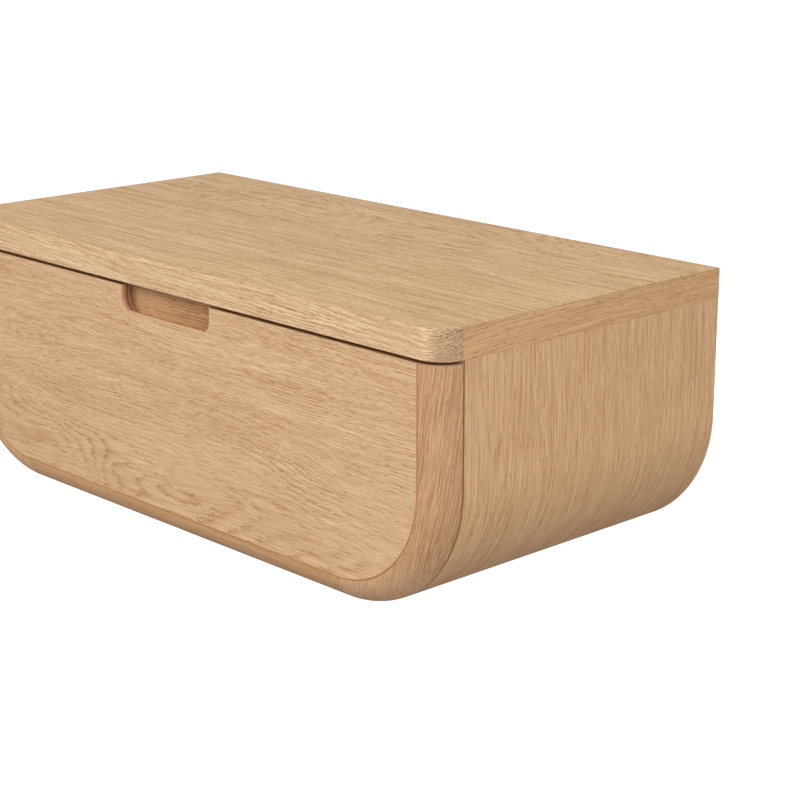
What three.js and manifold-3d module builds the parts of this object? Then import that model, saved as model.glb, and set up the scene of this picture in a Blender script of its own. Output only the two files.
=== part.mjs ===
// Floating nightstand: an oak top on a bent U-shaped shell, with one drawer behind a rounded front.
// Millimetres. +Z is up, the wall is the plane y = 0 and the drawer opens towards -Y.
// The origin is the middle of the wall cleat's back face, where the nightstand hangs on the wall.
import * as THREE from 'three';
import { mergeVertices } from 'three/addons/utils/BufferGeometryUtils.js';
import Module from 'manifold-3d';

const wasm = await Module();
wasm.setup();

// Whole cabinet
const width = 650;
const depth = 318;
const height = 237;
const shellOuterRadius = 112.5;
const shellThickness = 18;
const topThickness = 25;
const topVeneerThickness = 0.6;
const topSideLippingThickness = 4;

// Clearances
const jointGap = 0.3;
const overrun = 5;

// Back panel, and the two bevelled rails that hang the cabinet on the wall
const railThickness = 18;
const railWallClearance = 2;
const railHeight = 58;
const wallCleatHeight = 30;
const wallCleatEndClearance = 7;
const backPanelThickness = 6;
const panelGrooveDepth = 6;

// Drawer front, built from two layers with solid oak round them
const frontThickness = 23;
const frontGap = 1.2;
const frontTopGap = 2.4;
const frontSkinThickness = 10;
const sideLippingWidth = 24;
const bottomLippingWidth = 21;
const lippingInnerRadius = 90;

// Finger notch in the top edge of the drawer front
const notchWidth = 116;
const notchHeight = 22;
const notchCornerRadius = 12;
const notchArrisRadius = 2.4;
const notchUndercutDepth = 2.6;
const notchUndercutReach = 6;

// Drawer box
const drawerSideThickness = 12;
const drawerBottomThickness = 6;
const drawerBottomRaise = 10;
const drawerBottomGrooveDepth = 6;
const drawerHeadroom = 12;
const drawerRearGap = 9;
const drawerCornerClearance = 3;

// Ball-bearing slides with three members each
const slideHeight = 45;
const slideWidth = 12.7;
const slideSheet = 1.2;
const slideFrontSetback = 1.8;
const slideRearGap = 16;
const slideBendClearance = 2;
const ballDiameter = 4;
const raceClearance = 0.15;
const cageSheet = 0.5;
const cageClearance = 0.35;
const cageEndGap = 10;
const ballsPerRow = 4;

// Release lever in each drawer member, on its pivot pin
const leverLength = 56;
const leverHeight = 9;
const leverThickness = 2.2;
const leverTabLength = 12;
const leverPinDiameter = 3;
const leverPinHeadDiameter = 5.4;
const leverPinHeadHeight = 0.8;

// Screws, dowels and bumpers
const slideScrewHeadDiameter = 6.6;
const slideScrewShankDiameter = 3.4;
const slideScrewInset = 35;
const panHeadDiameter = 7;
const panHeadHeight = 2.2;
const panShankDiameter = 3.6;
const screwTipLength = 3;
const screwTipCover = 3;
const recessSpan = 3.6;
const recessWidth = 0.9;
const recessDepth = 1.1;
const dowelDiameter = 8;
const dowelLength = 30;
const dowelDepthInTop = 12;
const dowelDepthInShell = 11;
const wallScrewHeadDiameter = 9;
const wallScrewHoleDiameter = 5;
const bumperDiameter = 8;
const bumperPlay = 0.2;

// Where repeated pieces sit, as shares of what carries them
const topDowelShares = [0.09, 0.47, 0.85];
const railDowelShares = [0.22, 0.55];
const wallHoleShares = [-0.8, -0.27, 0.27, 0.8];
const frontScrewWidthShare = 0.78;
const frontScrewHeightShares = [0.3, 0.75];
const leverPlaceShare = 0.57;
const bumperHeightShare = 0.16;

// How finely round shapes are drawn
const bendSteps = 18;
const quarterRoundSteps = 6;
const notchSteps = 6;
const raceSteps = 5;
const roundSides = 12;
const ballSides = 8;
const ballRings = 5;

// Directions of the races and of the tab, in degrees
const outerRaceAngles = [150, 20];
const middleTroughAngles = [-125, -50];
const middleRaceAngles = [120, 30];
const innerRaceAngles = [-150, -30];

// Share of the race size that sets one row of balls from the next
const ballRowDropShare = 1.5;
const ballRowStepShare = 1.45;

// Sizes that follow from those above
const halfWidth = width / 2;
const frontY = -depth;
const frontBackY = frontY + frontThickness;
const frontLayerY = frontY + frontSkinThickness;
const shellFrontY = frontBackY + frontGap;
const shellInnerHalf = halfWidth - shellThickness;
const shellInnerRadius = shellOuterRadius - shellThickness;
const panelBackY = -(railThickness + railWallClearance);
const panelFrontY = panelBackY - backPanelThickness;
const bevelGap = jointGap * Math.SQRT2;
const wallCleatDrop = topThickness + railHeight + railWallClearance + bevelGap;
const topZ = wallCleatDrop + wallCleatHeight / 2;
const bottomZ = topZ - height;
const underTopZ = topZ - topThickness;
const bendCentreZ = bottomZ + shellOuterRadius;
const frontTopZ = underTopZ - frontTopGap;
const slideZ = bendCentreZ + slideBendClearance + slideHeight / 2;
const slideFrontY = shellFrontY + slideFrontSetback;
const slideRearY = panelFrontY - slideRearGap;
const slideLength = slideRearY - slideFrontY;
const drawerOuterHalf = shellInnerHalf - slideWidth;
const drawerInnerHalf = drawerOuterHalf - drawerSideThickness;
const drawerRearY = panelFrontY - drawerRearGap;
const drawerBoxFrontY = frontBackY + drawerSideThickness;
const drawerTopZ = underTopZ - drawerHeadroom;
const drawerCornerReach = Math.sqrt(
  (shellInnerRadius - drawerCornerClearance) ** 2
  - (drawerOuterHalf - (halfWidth - shellOuterRadius)) ** 2,
);
const drawerLowZ = bendCentreZ - drawerCornerReach;
const drawerBottomZ = drawerLowZ + drawerBottomRaise;
const drawerFloorZ = drawerBottomZ + drawerBottomThickness;

// Finishes
function finish(color, roughness, metalness) {
  return new THREE.MeshStandardMaterial({ color, roughness, metalness });
}
const oakVeneer = finish(0xd2ab7c, 0.55, 0);
const oakSolid = finish(0xc4966a, 0.55, 0);
const plywood = finish(0xcfb083, 0.65, 0);
const boardCore = finish(0xb89468, 0.8, 0);
const beech = finish(0xd8b48a, 0.6, 0);
const zincSteel = finish(0xb9bdc0, 0.35, 1);
const ballCageSteel = finish(0x9b9fa3, 0.4, 1);
const blackPlastic = finish(0x1e1e20, 0.5, 0);
const clearRubber = finish(0xd9d7d0, 0.4, 0);

// Solids and booleans
function toSolid(geometry) {
  const bare = geometry.clone();
  bare.deleteAttribute('normal');
  bare.deleteAttribute('uv');
  const merged = mergeVertices(bare);
  const vertProperties = merged.getAttribute('position').array;
  const triVerts = new Uint32Array(merged.index.array);
  return new wasm.Manifold(new wasm.Mesh({ numProp: 3, vertProperties, triVerts }));
}

function toGeometry(solid) {
  const mesh = solid.getMesh();
  const geometry = new THREE.BufferGeometry();
  geometry.setAttribute('position', new THREE.BufferAttribute(mesh.vertProperties, 3));
  geometry.setIndex(new THREE.BufferAttribute(mesh.triVerts, 1));
  geometry.computeVertexNormals();
  return geometry;
}

function cut(geometry, tools) {
  const solid = tools.reduce((left, tool) => left.subtract(toSolid(tool)), toSolid(geometry));
  return toGeometry(solid);
}

function keepInside(geometry, outline) {
  return toGeometry(toSolid(geometry).intersect(toSolid(outline)));
}

function join(geometries) {
  const solids = geometries.map(toSolid);
  return toGeometry(solids.reduce((sum, solid) => sum.add(solid)));
}

// A closed outline drawn out along one axis: (y, z) points along X, (x, z) along Y, (x, y) along Z.
function prism(points, axis, from, to) {
  const shape = new THREE.Shape(points.map((point) => new THREE.Vector2(...point)));
  const geometry = new THREE.ExtrudeGeometry(shape, { depth: 1, bevelEnabled: false });
  const places = geometry.getAttribute('position');
  for (let i = 0; i < places.count; i += 1) {
    const first = places.getX(i);
    const second = places.getY(i);
    const far = places.getZ(i) > 0;
    if (axis === 'x') places.setXYZ(i, far ? to : from, first, second);
    if (axis === 'y') places.setXYZ(i, first, far ? from : to, second);
    if (axis === 'z') places.setXYZ(i, first, second, far ? to : from);
  }
  return geometry;
}

function block([x0, x1], [y0, y1], [z0, z1]) {
  return prism([[x0, y0], [x1, y0], [x1, y1], [x0, y1]], 'z', z0, z1);
}

function arc(centreAcross, centreUp, radius, fromDegrees, toDegrees, steps) {
  return Array.from({ length: steps + 1 }, (_, i) => {
    const angle = THREE.MathUtils.degToRad(fromDegrees + (toDegrees - fromDegrees) * i / steps);
    return [centreAcross + radius * Math.cos(angle), centreUp + radius * Math.sin(angle)];
  });
}

// A U: down the left side, round the left bend, along the bottom and up the right side.
function uOutline({ half, low, high, radius }, steps) {
  return [
    [-half, high],
    ...arc(-half + radius, low + radius, radius, 180, 270, steps),
    ...arc(half - radius, low + radius, radius, 270, 360, steps),
    [half, high],
  ];
}

// A solid skinned over U outlines that lie one in front of the other, from the rear to the front.
function uLoft(rings, steps) {
  const outlines = rings.map((ring) => uOutline(ring, steps));
  const count = outlines[0].length;
  const places = outlines.flatMap((outline, k) => outline.flatMap(([x, z]) => [x, rings[k].y, z]));
  const faces = [];
  for (let k = 0; k + 1 < rings.length; k += 1) {
    for (let i = 0; i < count; i += 1) {
      const next = (i + 1) % count;
      const rear = k * count;
      const front = rear + count;
      faces.push(rear + i, rear + next, front + next, rear + i, front + next, front + i);
    }
  }
  const last = (rings.length - 1) * count;
  const capFaces = (outline) => THREE.ShapeUtils.triangulateShape(
    outline.map(([x, z]) => new THREE.Vector2(x, z)),
    [],
  );
  const turnsLeft = (outline, [a, b, c]) => THREE.ShapeUtils.area(
    [a, b, c].map((i) => new THREE.Vector2(...outline[i])),
  ) > 0;
  capFaces(outlines[0]).forEach((face) => {
    const [a, b, c] = turnsLeft(outlines[0], face) ? face : [face[0], face[2], face[1]];
    faces.push(a, c, b);
  });
  capFaces(outlines.at(-1)).forEach((face) => {
    const [a, b, c] = turnsLeft(outlines.at(-1), face) ? face : [face[0], face[2], face[1]];
    faces.push(last + a, last + b, last + c);
  });
  const geometry = new THREE.BufferGeometry();
  geometry.setAttribute('position', new THREE.BufferAttribute(new Float32Array(places), 3));
  geometry.setIndex(faces);
  return geometry;
}

// The outline of a bent strip of sheet, from the path that its middle follows.
function stripOutline(path, thickness) {
  const side = (sign) => path.map(([x, z], i) => {
    const before = path[Math.max(i - 1, 0)];
    const after = path[Math.min(i + 1, path.length - 1)];
    const here = new THREE.Vector2(x, z);
    const into = here.clone().sub(new THREE.Vector2(...before)).normalize();
    const out = new THREE.Vector2(...after).sub(here).normalize();
    const along = into.clone().add(out).normalize();
    const bend = Math.max(into.length() && out.length() ? into.dot(out) : 1, 0);
    const reach = sign * thickness / 2 / Math.sqrt((1 + bend) / 2);
    return [x - along.y * reach, z + along.x * reach];
  });
  return [...side(1), ...side(-1).reverse()];
}

// Turned pieces: the profile is given as [radius, distance along the axis], along local +Z.
function turned(profile) {
  const points = profile.map(([radius, along]) => new THREE.Vector2(radius, along));
  return new THREE.LatheGeometry(points, roundSides).rotateX(Math.PI / 2);
}

function rod(radius, from, to) {
  return turned([[0, from], [radius, from], [radius, to], [0, to]]);
}

function placed(geometry, spot) {
  const turn = new THREE.Quaternion().setFromUnitVectors(new THREE.Vector3(0, 0, 1), spot.towards);
  return geometry.clone().applyQuaternion(turn).translate(...spot.at);
}

// The model
const nightstand = new THREE.Group();

function addPiece(name, geometry, material) {
  const mesh = new THREE.Mesh(geometry, material);
  mesh.name = name;
  nightstand.add(mesh);
  return mesh;
}

function addPlaced(name, geometry, material, spot) {
  const mesh = addPiece(name, geometry, material);
  mesh.position.set(...spot.at);
  mesh.quaternion.setFromUnitVectors(new THREE.Vector3(0, 0, 1), spot.towards);
}

const up = new THREE.Vector3(0, 0, 1);
const forwards = new THREE.Vector3(0, -1, 0);
const sides = [
  { name: 'left', sign: -1, outwards: new THREE.Vector3(-1, 0, 0), inwards: new THREE.Vector3(1, 0, 0) },
  { name: 'right', sign: 1, outwards: new THREE.Vector3(1, 0, 0), inwards: new THREE.Vector3(-1, 0, 0) },
];

// Screws: the head's seat is at local z = 0 and the point is towards +Z.
function crossRecess(headTop) {
  const low = headTop - overrun;
  const high = headTop + recessDepth;
  const long = [-recessSpan / 2, recessSpan / 2];
  const narrow = [-recessWidth / 2, recessWidth / 2];
  return [block(long, narrow, [low, high]), block(narrow, long, [low, high])];
}

function countersunkScrew(headRadius, shankRadius, length) {
  const body = turned([
    [0, 0],
    [headRadius, 0],
    [shankRadius, headRadius - shankRadius],
    [shankRadius, length - screwTipLength],
    [0, length],
  ]);
  return cut(body, crossRecess(0));
}

function countersunkHole(headRadius, shankRadius, length) {
  const profile = [
    [0, -overrun],
    [headRadius + jointGap, -overrun],
    [headRadius + jointGap, 0],
    [shankRadius + jointGap, headRadius - shankRadius],
    [shankRadius + jointGap, length + jointGap],
    [0, length + jointGap],
  ];
  return turned(profile);
}

function panScrew(headRadius, headHeight, shankRadius, length) {
  const crown = headHeight / 3;
  const profile = [
    [0, -headHeight],
    [headRadius - crown, -headHeight],
    [headRadius, -headHeight + crown],
    [headRadius, 0],
    [shankRadius, 0],
    [shankRadius, length - screwTipLength],
    [0, length],
  ];
  return cut(turned(profile), crossRecess(-headHeight));
}

// Dowels between the top and the shell, and between the hanging rail and the shell
const dowelRadius = dowelDiameter / 2;
const shellDepth = -shellFrontY;
const shellMiddle = halfWidth - shellThickness / 2;
const railMiddleY = -(railWallClearance + railThickness / 2);
const topDowelSpots = sides.flatMap(({ name, sign }) => topDowelShares.map((share, i) => ({
  name: `top_dowel_${name}_${i + 1}`,
  at: [sign * shellMiddle, shellFrontY + share * shellDepth, underTopZ + dowelDepthInTop - dowelLength],
  towards: up,
})));
const railDowelSpots = sides.flatMap(({ name, sign, inwards }) => railDowelShares.map((share, i) => ({
  name: `rail_dowel_${name}_${i + 1}`,
  at: [sign * (shellInnerHalf + dowelDepthInShell), railMiddleY, underTopZ - share * railHeight],
  towards: inwards,
})));

function dowelHole(spot) {
  return placed(rod(dowelRadius + jointGap, -jointGap, dowelLength + jointGap), spot);
}

function addDowels() {
  const chamfer = dowelRadius / 4;
  const dowel = turned([
    [0, 0],
    [dowelRadius - chamfer, 0],
    [dowelRadius, chamfer],
    [dowelRadius, dowelLength - chamfer],
    [dowelRadius - chamfer, dowelLength],
    [0, dowelLength],
  ]);
  [...topDowelSpots, ...railDowelSpots].forEach((spot) => addPlaced(spot.name, dowel, beech, spot));
}

// Top: a board with solid lippings at the front and sides, veneered above and below
const topCoreLowZ = underTopZ + topVeneerThickness;
const topCoreHighZ = topZ - topVeneerThickness;
const topCoreHalf = halfWidth - topSideLippingThickness;
const topFrontLippingBackY = frontY + frontThickness;

function roundedFrontOutline(half, front, back, radius) {
  return [
    [half, back],
    [-half, back],
    ...arc(-half + radius, front + radius, radius, 180, 270, bendSteps),
    ...arc(half - radius, front + radius, radius, 270, 360, bendSteps),
  ];
}

function addTop() {
  const veneer = roundedFrontOutline(halfWidth, frontY, 0, frontThickness);
  const dowelHoles = topDowelSpots.map(dowelHole);
  const core = block([-topCoreHalf, topCoreHalf], [topFrontLippingBackY, 0], [topCoreLowZ, topCoreHighZ]);
  addPiece('top_core', cut(core, dowelHoles), boardCore);
  addPiece('top_veneer', prism(veneer, 'z', topCoreHighZ, topZ), oakVeneer);
  addPiece('top_underside_veneer', cut(prism(veneer, 'z', underTopZ, topCoreLowZ), dowelHoles), oakVeneer);
  const frontLipping = roundedFrontOutline(halfWidth, frontY, topFrontLippingBackY, frontThickness);
  addPiece('top_front_lipping', prism(frontLipping, 'z', topCoreLowZ, topCoreHighZ), oakSolid);
  sides.forEach(({ name, sign }) => {
    const across = [sign * topCoreHalf, sign * halfWidth].sort((a, b) => a - b);
    const lipping = block(across, [topFrontLippingBackY, 0], [topCoreLowZ, topCoreHighZ]);
    addPiece(`top_${name}_lipping`, cut(lipping, dowelHoles), oakSolid);
  });
}

// Slide screws, through the cabinet member into the shell
const slideScrewHeadRadius = slideScrewHeadDiameter / 2;
const slideScrewShankRadius = slideScrewShankDiameter / 2;
const slideScrewLength = shellThickness + slideSheet - screwTipCover;
const slideScrewPlaces = [slideFrontY + slideScrewInset, slideRearY - slideScrewInset];
const slideScrewSpots = sides.flatMap(({ name, sign, outwards }) => slideScrewPlaces.map((y, i) => ({
  name: `cabinet_slide_screw_${name}_${i + 1}`,
  at: [sign * (shellInnerHalf - slideSheet), y, slideZ],
  towards: outwards,
})));
const slideScrewHoles = slideScrewSpots.map((spot) => placed(
  countersunkHole(slideScrewHeadRadius, slideScrewShankRadius, slideScrewLength),
  spot,
));

function addSlideScrews() {
  const screw = countersunkScrew(slideScrewHeadRadius, slideScrewShankRadius, slideScrewLength);
  slideScrewSpots.forEach((spot) => addPlaced(spot.name, screw, zincSteel, spot));
}

// Shell: bent plywood, grooved round its inside for the back panel
const panelReach = panelGrooveDepth - jointGap;

function innerU(grow, y) {
  return {
    half: shellInnerHalf + grow,
    low: bottomZ + shellThickness - grow,
    high: underTopZ,
    radius: shellInnerRadius + grow,
    y,
  };
}

function addShell() {
  const outline = { half: halfWidth, low: bottomZ, high: underTopZ, radius: shellOuterRadius };
  const outer = uOutline(outline, bendSteps);
  const inner = uOutline(innerU(0, 0), bendSteps);
  const body = prism([...outer, ...inner.reverse()], 'y', shellFrontY, 0);
  const groove = uLoft([
    { ...innerU(panelGrooveDepth, panelBackY + jointGap), high: underTopZ + overrun },
    { ...innerU(panelGrooveDepth, panelFrontY - jointGap), high: underTopZ + overrun },
  ], bendSteps);
  const dowelHoles = [...topDowelSpots, ...railDowelSpots].map(dowelHole);
  addPiece('bent_shell', cut(body, [groove, ...dowelHoles, ...slideScrewHoles]), plywood);
}

function addBackPanel() {
  const outline = { ...innerU(panelReach, 0), high: underTopZ - jointGap };
  addPiece('back_panel', prism(uOutline(outline, bendSteps), 'y', panelFrontY, panelBackY), plywood);
}

// Hanging rail in the cabinet and the cleat on the wall: their bevels hook together at 45 degrees
function addHangingRail() {
  const railBackY = -railWallClearance;
  const railLowZ = underTopZ - railHeight;
  const outline = [
    [panelBackY, underTopZ],
    [panelBackY, railLowZ + railThickness],
    [railBackY, railLowZ],
    [railBackY, underTopZ],
  ];
  const half = shellInnerHalf - jointGap;
  addPiece('hanging_rail', cut(prism(outline, 'x', -half, half), railDowelSpots.map(dowelHole)), beech);
}

function addWallCleat() {
  const cleatHighZ = topZ - wallCleatDrop;
  const cleatLowZ = cleatHighZ - wallCleatHeight;
  const outline = [
    [0, cleatLowZ],
    [0, cleatHighZ],
    [-railThickness, cleatHighZ + railThickness],
    [-railThickness, cleatLowZ],
  ];
  const half = shellInnerHalf - wallCleatEndClearance;
  const headRadius = wallScrewHeadDiameter / 2;
  const hole = countersunkHole(headRadius, wallScrewHoleDiameter / 2, railThickness + overrun);
  const holes = wallHoleShares.map((share) => placed(hole, {
    at: [share * half, -railThickness, cleatLowZ + wallCleatHeight / 2],
    towards: new THREE.Vector3(0, 1, 0),
  }));
  addPiece('wall_cleat', cut(prism(outline, 'x', -half, half), holes), beech);
}

// Screws that hold the drawer front, from inside the drawer box
const panRadius = panHeadDiameter / 2;
const panShankRadius = panShankDiameter / 2;
const frontBackingThickness = frontThickness - frontSkinThickness;
const frontScrewLength = drawerSideThickness + frontBackingThickness - screwTipCover;
const frontScrewSpots = sides.flatMap(({ name, sign }) => frontScrewHeightShares.map((share, i) => ({
  name: `front_screw_${name}_${i + 1}`,
  at: [
    sign * frontScrewWidthShare * drawerInnerHalf,
    drawerBoxFrontY,
    drawerTopZ + share * (drawerFloorZ - drawerTopZ),
  ],
  towards: forwards,
})));

function panHole(length) {
  return rod(panShankRadius + jointGap, -overrun, length + jointGap);
}

function addFrontScrews() {
  const screw = panScrew(panRadius, panHeadHeight, panShankRadius, frontScrewLength);
  frontScrewSpots.forEach((spot) => addPlaced(spot.name, screw, zincSteel, spot));
}

// Drawer front: a slab whose side and bottom edges are rounded over its whole thickness
function frontSlab() {
  const rings = arc(0, 0, frontThickness, 0, 90, quarterRoundSteps).map(([level, forward]) => {
    const inset = frontThickness - level;
    return {
      half: halfWidth - inset,
      low: bottomZ + inset,
      high: frontTopZ,
      radius: shellOuterRadius - inset,
      y: frontBackY - forward,
    };
  });
  return uLoft(rings, bendSteps);
}

function panelU(grow) {
  return {
    half: halfWidth - sideLippingWidth + grow,
    low: bottomZ + bottomLippingWidth - grow,
    high: frontTopZ,
    radius: lippingInnerRadius + grow,
  };
}

function notchU(grow, y) {
  return {
    half: notchWidth / 2 + grow,
    low: frontTopZ - notchHeight - grow,
    high: frontTopZ + overrun,
    radius: notchCornerRadius + grow,
    y,
  };
}

// The notch as a cutter: straight through the skin, flaring at the front by its rounded arris
function notchCutter() {
  const flare = arc(0, 0, notchArrisRadius, 0, 90, notchSteps).map(([level, forward]) => (
    notchU(notchArrisRadius - level, frontY + notchArrisRadius - forward)
  ));
  const front = notchU(notchArrisRadius, frontY - overrun);
  return uLoft([notchU(0, frontLayerY + overrun), ...flare, front], notchSteps);
}

function addFrontLayers() {
  const slab = frontSlab();
  const inside = prism(uOutline(panelU(0), bendSteps), 'y', frontY - overrun, frontLayerY);
  addPiece('drawer_front_panel', cut(keepInside(slab, inside), [notchCutter()]), oakVeneer);
  const backing = prism(uOutline(panelU(0), bendSteps), 'y', frontLayerY, frontBackY);
  const undercut = uLoft([
    notchU(notchUndercutReach, frontLayerY + notchUndercutDepth),
    notchU(notchUndercutReach, frontLayerY - overrun),
  ], notchSteps);
  const screwHoles = frontScrewSpots.map((spot) => placed(panHole(frontScrewLength), spot));
  addPiece('drawer_front_backing', cut(backing, [undercut, ...screwHoles]), plywood);
}

function addFrontLippings() {
  const far = width + overrun;
  const bendEnd = halfWidth - shellOuterRadius;
  const inside = prism(
    uOutline({ ...panelU(jointGap), high: frontTopZ + overrun }, bendSteps),
    'y',
    frontY - overrun,
    frontBackY + overrun,
  );
  const ring = cut(frontSlab(), [inside]);
  const deep = [frontY - overrun, frontBackY + overrun];
  const tall = [bottomZ - overrun, frontTopZ + overrun];
  const left = block([-far, -bendEnd], deep, tall);
  const right = block([bendEnd, far], deep, tall);
  const middle = block([-bendEnd + jointGap, bendEnd - jointGap], deep, tall);
  addPiece('drawer_front_left_lipping', keepInside(ring, left), oakSolid);
  addPiece('drawer_front_right_lipping', keepInside(ring, right), oakSolid);
  addPiece('drawer_front_bottom_lipping', keepInside(ring, middle), oakSolid);
}

// Bumpers behind the drawer front, where it closes on the shell's front edge
function addBumpers() {
  const bumper = rod(bumperDiameter / 2, 0, frontGap - bumperPlay);
  sides.forEach(({ name, sign }) => addPlaced(`bumper_${name}`, bumper, clearRubber, {
    at: [sign * shellMiddle, frontBackY, frontTopZ - bumperHeightShare * height],
    towards: new THREE.Vector3(0, 1, 0),
  }));
}

// Screws that hold the drawer members to the drawer sides
const memberScrewLength = slideSheet + drawerSideThickness - screwTipCover;
const memberScrewSpots = sides.flatMap(({ name, sign, inwards }) => slideScrewPlaces.map((y, i) => ({
  name: `drawer_slide_screw_${name}_${i + 1}`,
  at: [sign * (drawerOuterHalf + slideSheet), y, slideZ],
  towards: inwards,
})));
const memberScrewHoles = memberScrewSpots.map((spot) => placed(panHole(memberScrewLength), spot));

function addMemberScrews() {
  const screw = panScrew(panRadius, panHeadHeight, panShankRadius, memberScrewLength);
  memberScrewSpots.forEach((spot) => addPlaced(spot.name, screw, zincSteel, spot));
}

// Drawer box: sides, front, back and a bottom that slides into grooves
function addDrawerBox() {
  const bottomReach = drawerBottomGrooveDepth - jointGap;
  const grooveUp = [drawerBottomZ - jointGap, drawerFloorZ + jointGap];
  const groove = block(
    [-drawerInnerHalf - drawerBottomGrooveDepth, drawerInnerHalf + drawerBottomGrooveDepth],
    [drawerBoxFrontY - drawerBottomGrooveDepth, drawerRearY + overrun],
    grooveUp,
  );
  sides.forEach(({ name, sign }) => {
    const across = [sign * drawerInnerHalf, sign * drawerOuterHalf].sort((a, b) => a - b);
    const side = block(across, [frontBackY, drawerRearY], [drawerLowZ, drawerTopZ]);
    addPiece(`drawer_side_${name}`, cut(side, [groove, ...memberScrewHoles]), plywood);
  });
  const inner = [-drawerInnerHalf, drawerInnerHalf];
  const boxFront = block(inner, [frontBackY, drawerBoxFrontY], [drawerLowZ, drawerTopZ]);
  const screwHoles = frontScrewSpots.map((spot) => placed(panHole(frontScrewLength), spot));
  addPiece('drawer_box_front', cut(boxFront, [groove, ...screwHoles]), plywood);
  const backAlong = [drawerRearY - drawerSideThickness, drawerRearY];
  addPiece('drawer_box_back', block(inner, backAlong, [drawerFloorZ, drawerTopZ]), plywood);
  const bottom = block(
    [-drawerInnerHalf - bottomReach, drawerInnerHalf + bottomReach],
    [drawerBoxFrontY - bottomReach, drawerRearY],
    [drawerBottomZ, drawerFloorZ],
  );
  addPiece('drawer_bottom', bottom, plywood);
}

// Slide section, measured across from the shell's inner face and up from the slide's middle
const ballRadius = ballDiameter / 2;
const raceRadius = ballRadius + raceClearance;
const racePath = raceRadius + slideSheet / 2;
const raceBack = raceRadius + slideSheet;
const outerBallUp = slideHeight / 2 - raceBack;
const innerBallUp = outerBallUp - ballRowDropShare * racePath;
const innerBallAcross = slideWidth - slideSheet - raceRadius;
const outerBallAcross = innerBallAcross - ballRowStepShare * racePath;
const outerWebAcross = slideSheet / 2;
const outerCageAcross = slideSheet + cageClearance + cageSheet / 2;
const middleWebAcross = slideSheet + 2 * cageClearance + cageSheet + slideSheet / 2;
const innerCageAcross = middleWebAcross + slideSheet / 2 + cageClearance + cageSheet / 2;
const innerWebAcross = slideWidth - slideSheet / 2;
const cageLength = slideLength / 2 - cageEndGap;
const cageMiddleY = (slideFrontY + slideRearY) / 2;

function race(across, rise, [fromDegrees, toDegrees]) {
  return arc(across, rise, racePath, fromDegrees, toDegrees, raceSteps);
}

// Half of a path, from the web up, mirrored below the slide's middle
function mirroredPath(upperHalf) {
  const lowerHalf = upperHalf.map(([across, rise]) => [across, -rise]).reverse();
  return [...lowerHalf, ...upperHalf];
}

function outerMemberPath() {
  const arcPoints = race(outerBallAcross, outerBallUp, outerRaceAngles);
  const shoulder = arcPoints[0][1];
  return mirroredPath([
    [outerWebAcross, shoulder - slideSheet],
    [outerWebAcross + slideSheet, shoulder],
    ...arcPoints,
  ]);
}

function middleMemberPath() {
  const trough = race(outerBallAcross, outerBallUp, middleTroughAngles);
  const innerRace = race(innerBallAcross, innerBallUp, middleRaceAngles);
  return mirroredPath([[middleWebAcross, trough[0][1] - slideSheet], ...trough, ...innerRace]);
}

function innerMemberPath() {
  const arcPoints = race(innerBallAcross, innerBallUp, innerRaceAngles).reverse();
  return mirroredPath([[innerWebAcross, arcPoints[0][1] - slideSheet], ...arcPoints]);
}

// A ball cage: a thin channel whose flanges carry a row of balls above and below
function cageShape(toSide, webAcross, ballAcross, ballUp) {
  const flangeEnd = ballAcross + ballRadius - cageSheet;
  const path = mirroredPath([[webAcross, ballUp], [flangeEnd, ballUp]]);
  const channel = prism(
    stripOutline(path, cageSheet).map(toSide),
    'y',
    cageMiddleY - cageLength / 2,
    cageMiddleY + cageLength / 2,
  );
  const pitch = cageLength / ballsPerRow;
  const balls = Array.from({ length: ballsPerRow }, (_, i) => {
    const y = cageMiddleY + (i - (ballsPerRow - 1) / 2) * pitch;
    return [1, -1].map((sign) => {
      const [x, z] = toSide([ballAcross, sign * ballUp]);
      return new THREE.SphereGeometry(ballRadius, ballSides, ballRings).translate(x, y, z);
    });
  });
  return join([channel, ...balls.flat()]);
}

function addSlide({ name, sign }) {
  const toSide = ([across, rise]) => [sign * (shellInnerHalf - across), slideZ + rise];
  const member = (path) => prism(stripOutline(path, slideSheet).map(toSide), 'y', slideFrontY, slideRearY);
  addPiece(`slide_outer_${name}`, cut(member(outerMemberPath()), slideScrewHoles), zincSteel);
  addPiece(`slide_middle_${name}`, member(middleMemberPath()), zincSteel);
  const pinHole = placed(rod(leverPinDiameter / 2 + jointGap, -overrun, overrun), leverSpot(sign));
  const inner = cut(member(innerMemberPath()), [...memberScrewHoles, pinHole]);
  addPiece(`slide_inner_${name}`, inner, zincSteel);
  const outerCage = cageShape(toSide, outerCageAcross, outerBallAcross, outerBallUp);
  addPiece(`ball_cage_outer_${name}`, outerCage, ballCageSteel);
  const innerCage = cageShape(toSide, innerCageAcross, innerBallAcross, innerBallUp);
  addPiece(`ball_cage_inner_${name}`, innerCage, ballCageSteel);
}

// Release lever: it rocks on a pin that stands out of the drawer member's web
function leverSpot(sign) {
  return {
    at: [sign * drawerOuterHalf, slideFrontY + leverPlaceShare * slideLength, slideZ],
    towards: new THREE.Vector3(sign, 0, 0),
  };
}

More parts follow.
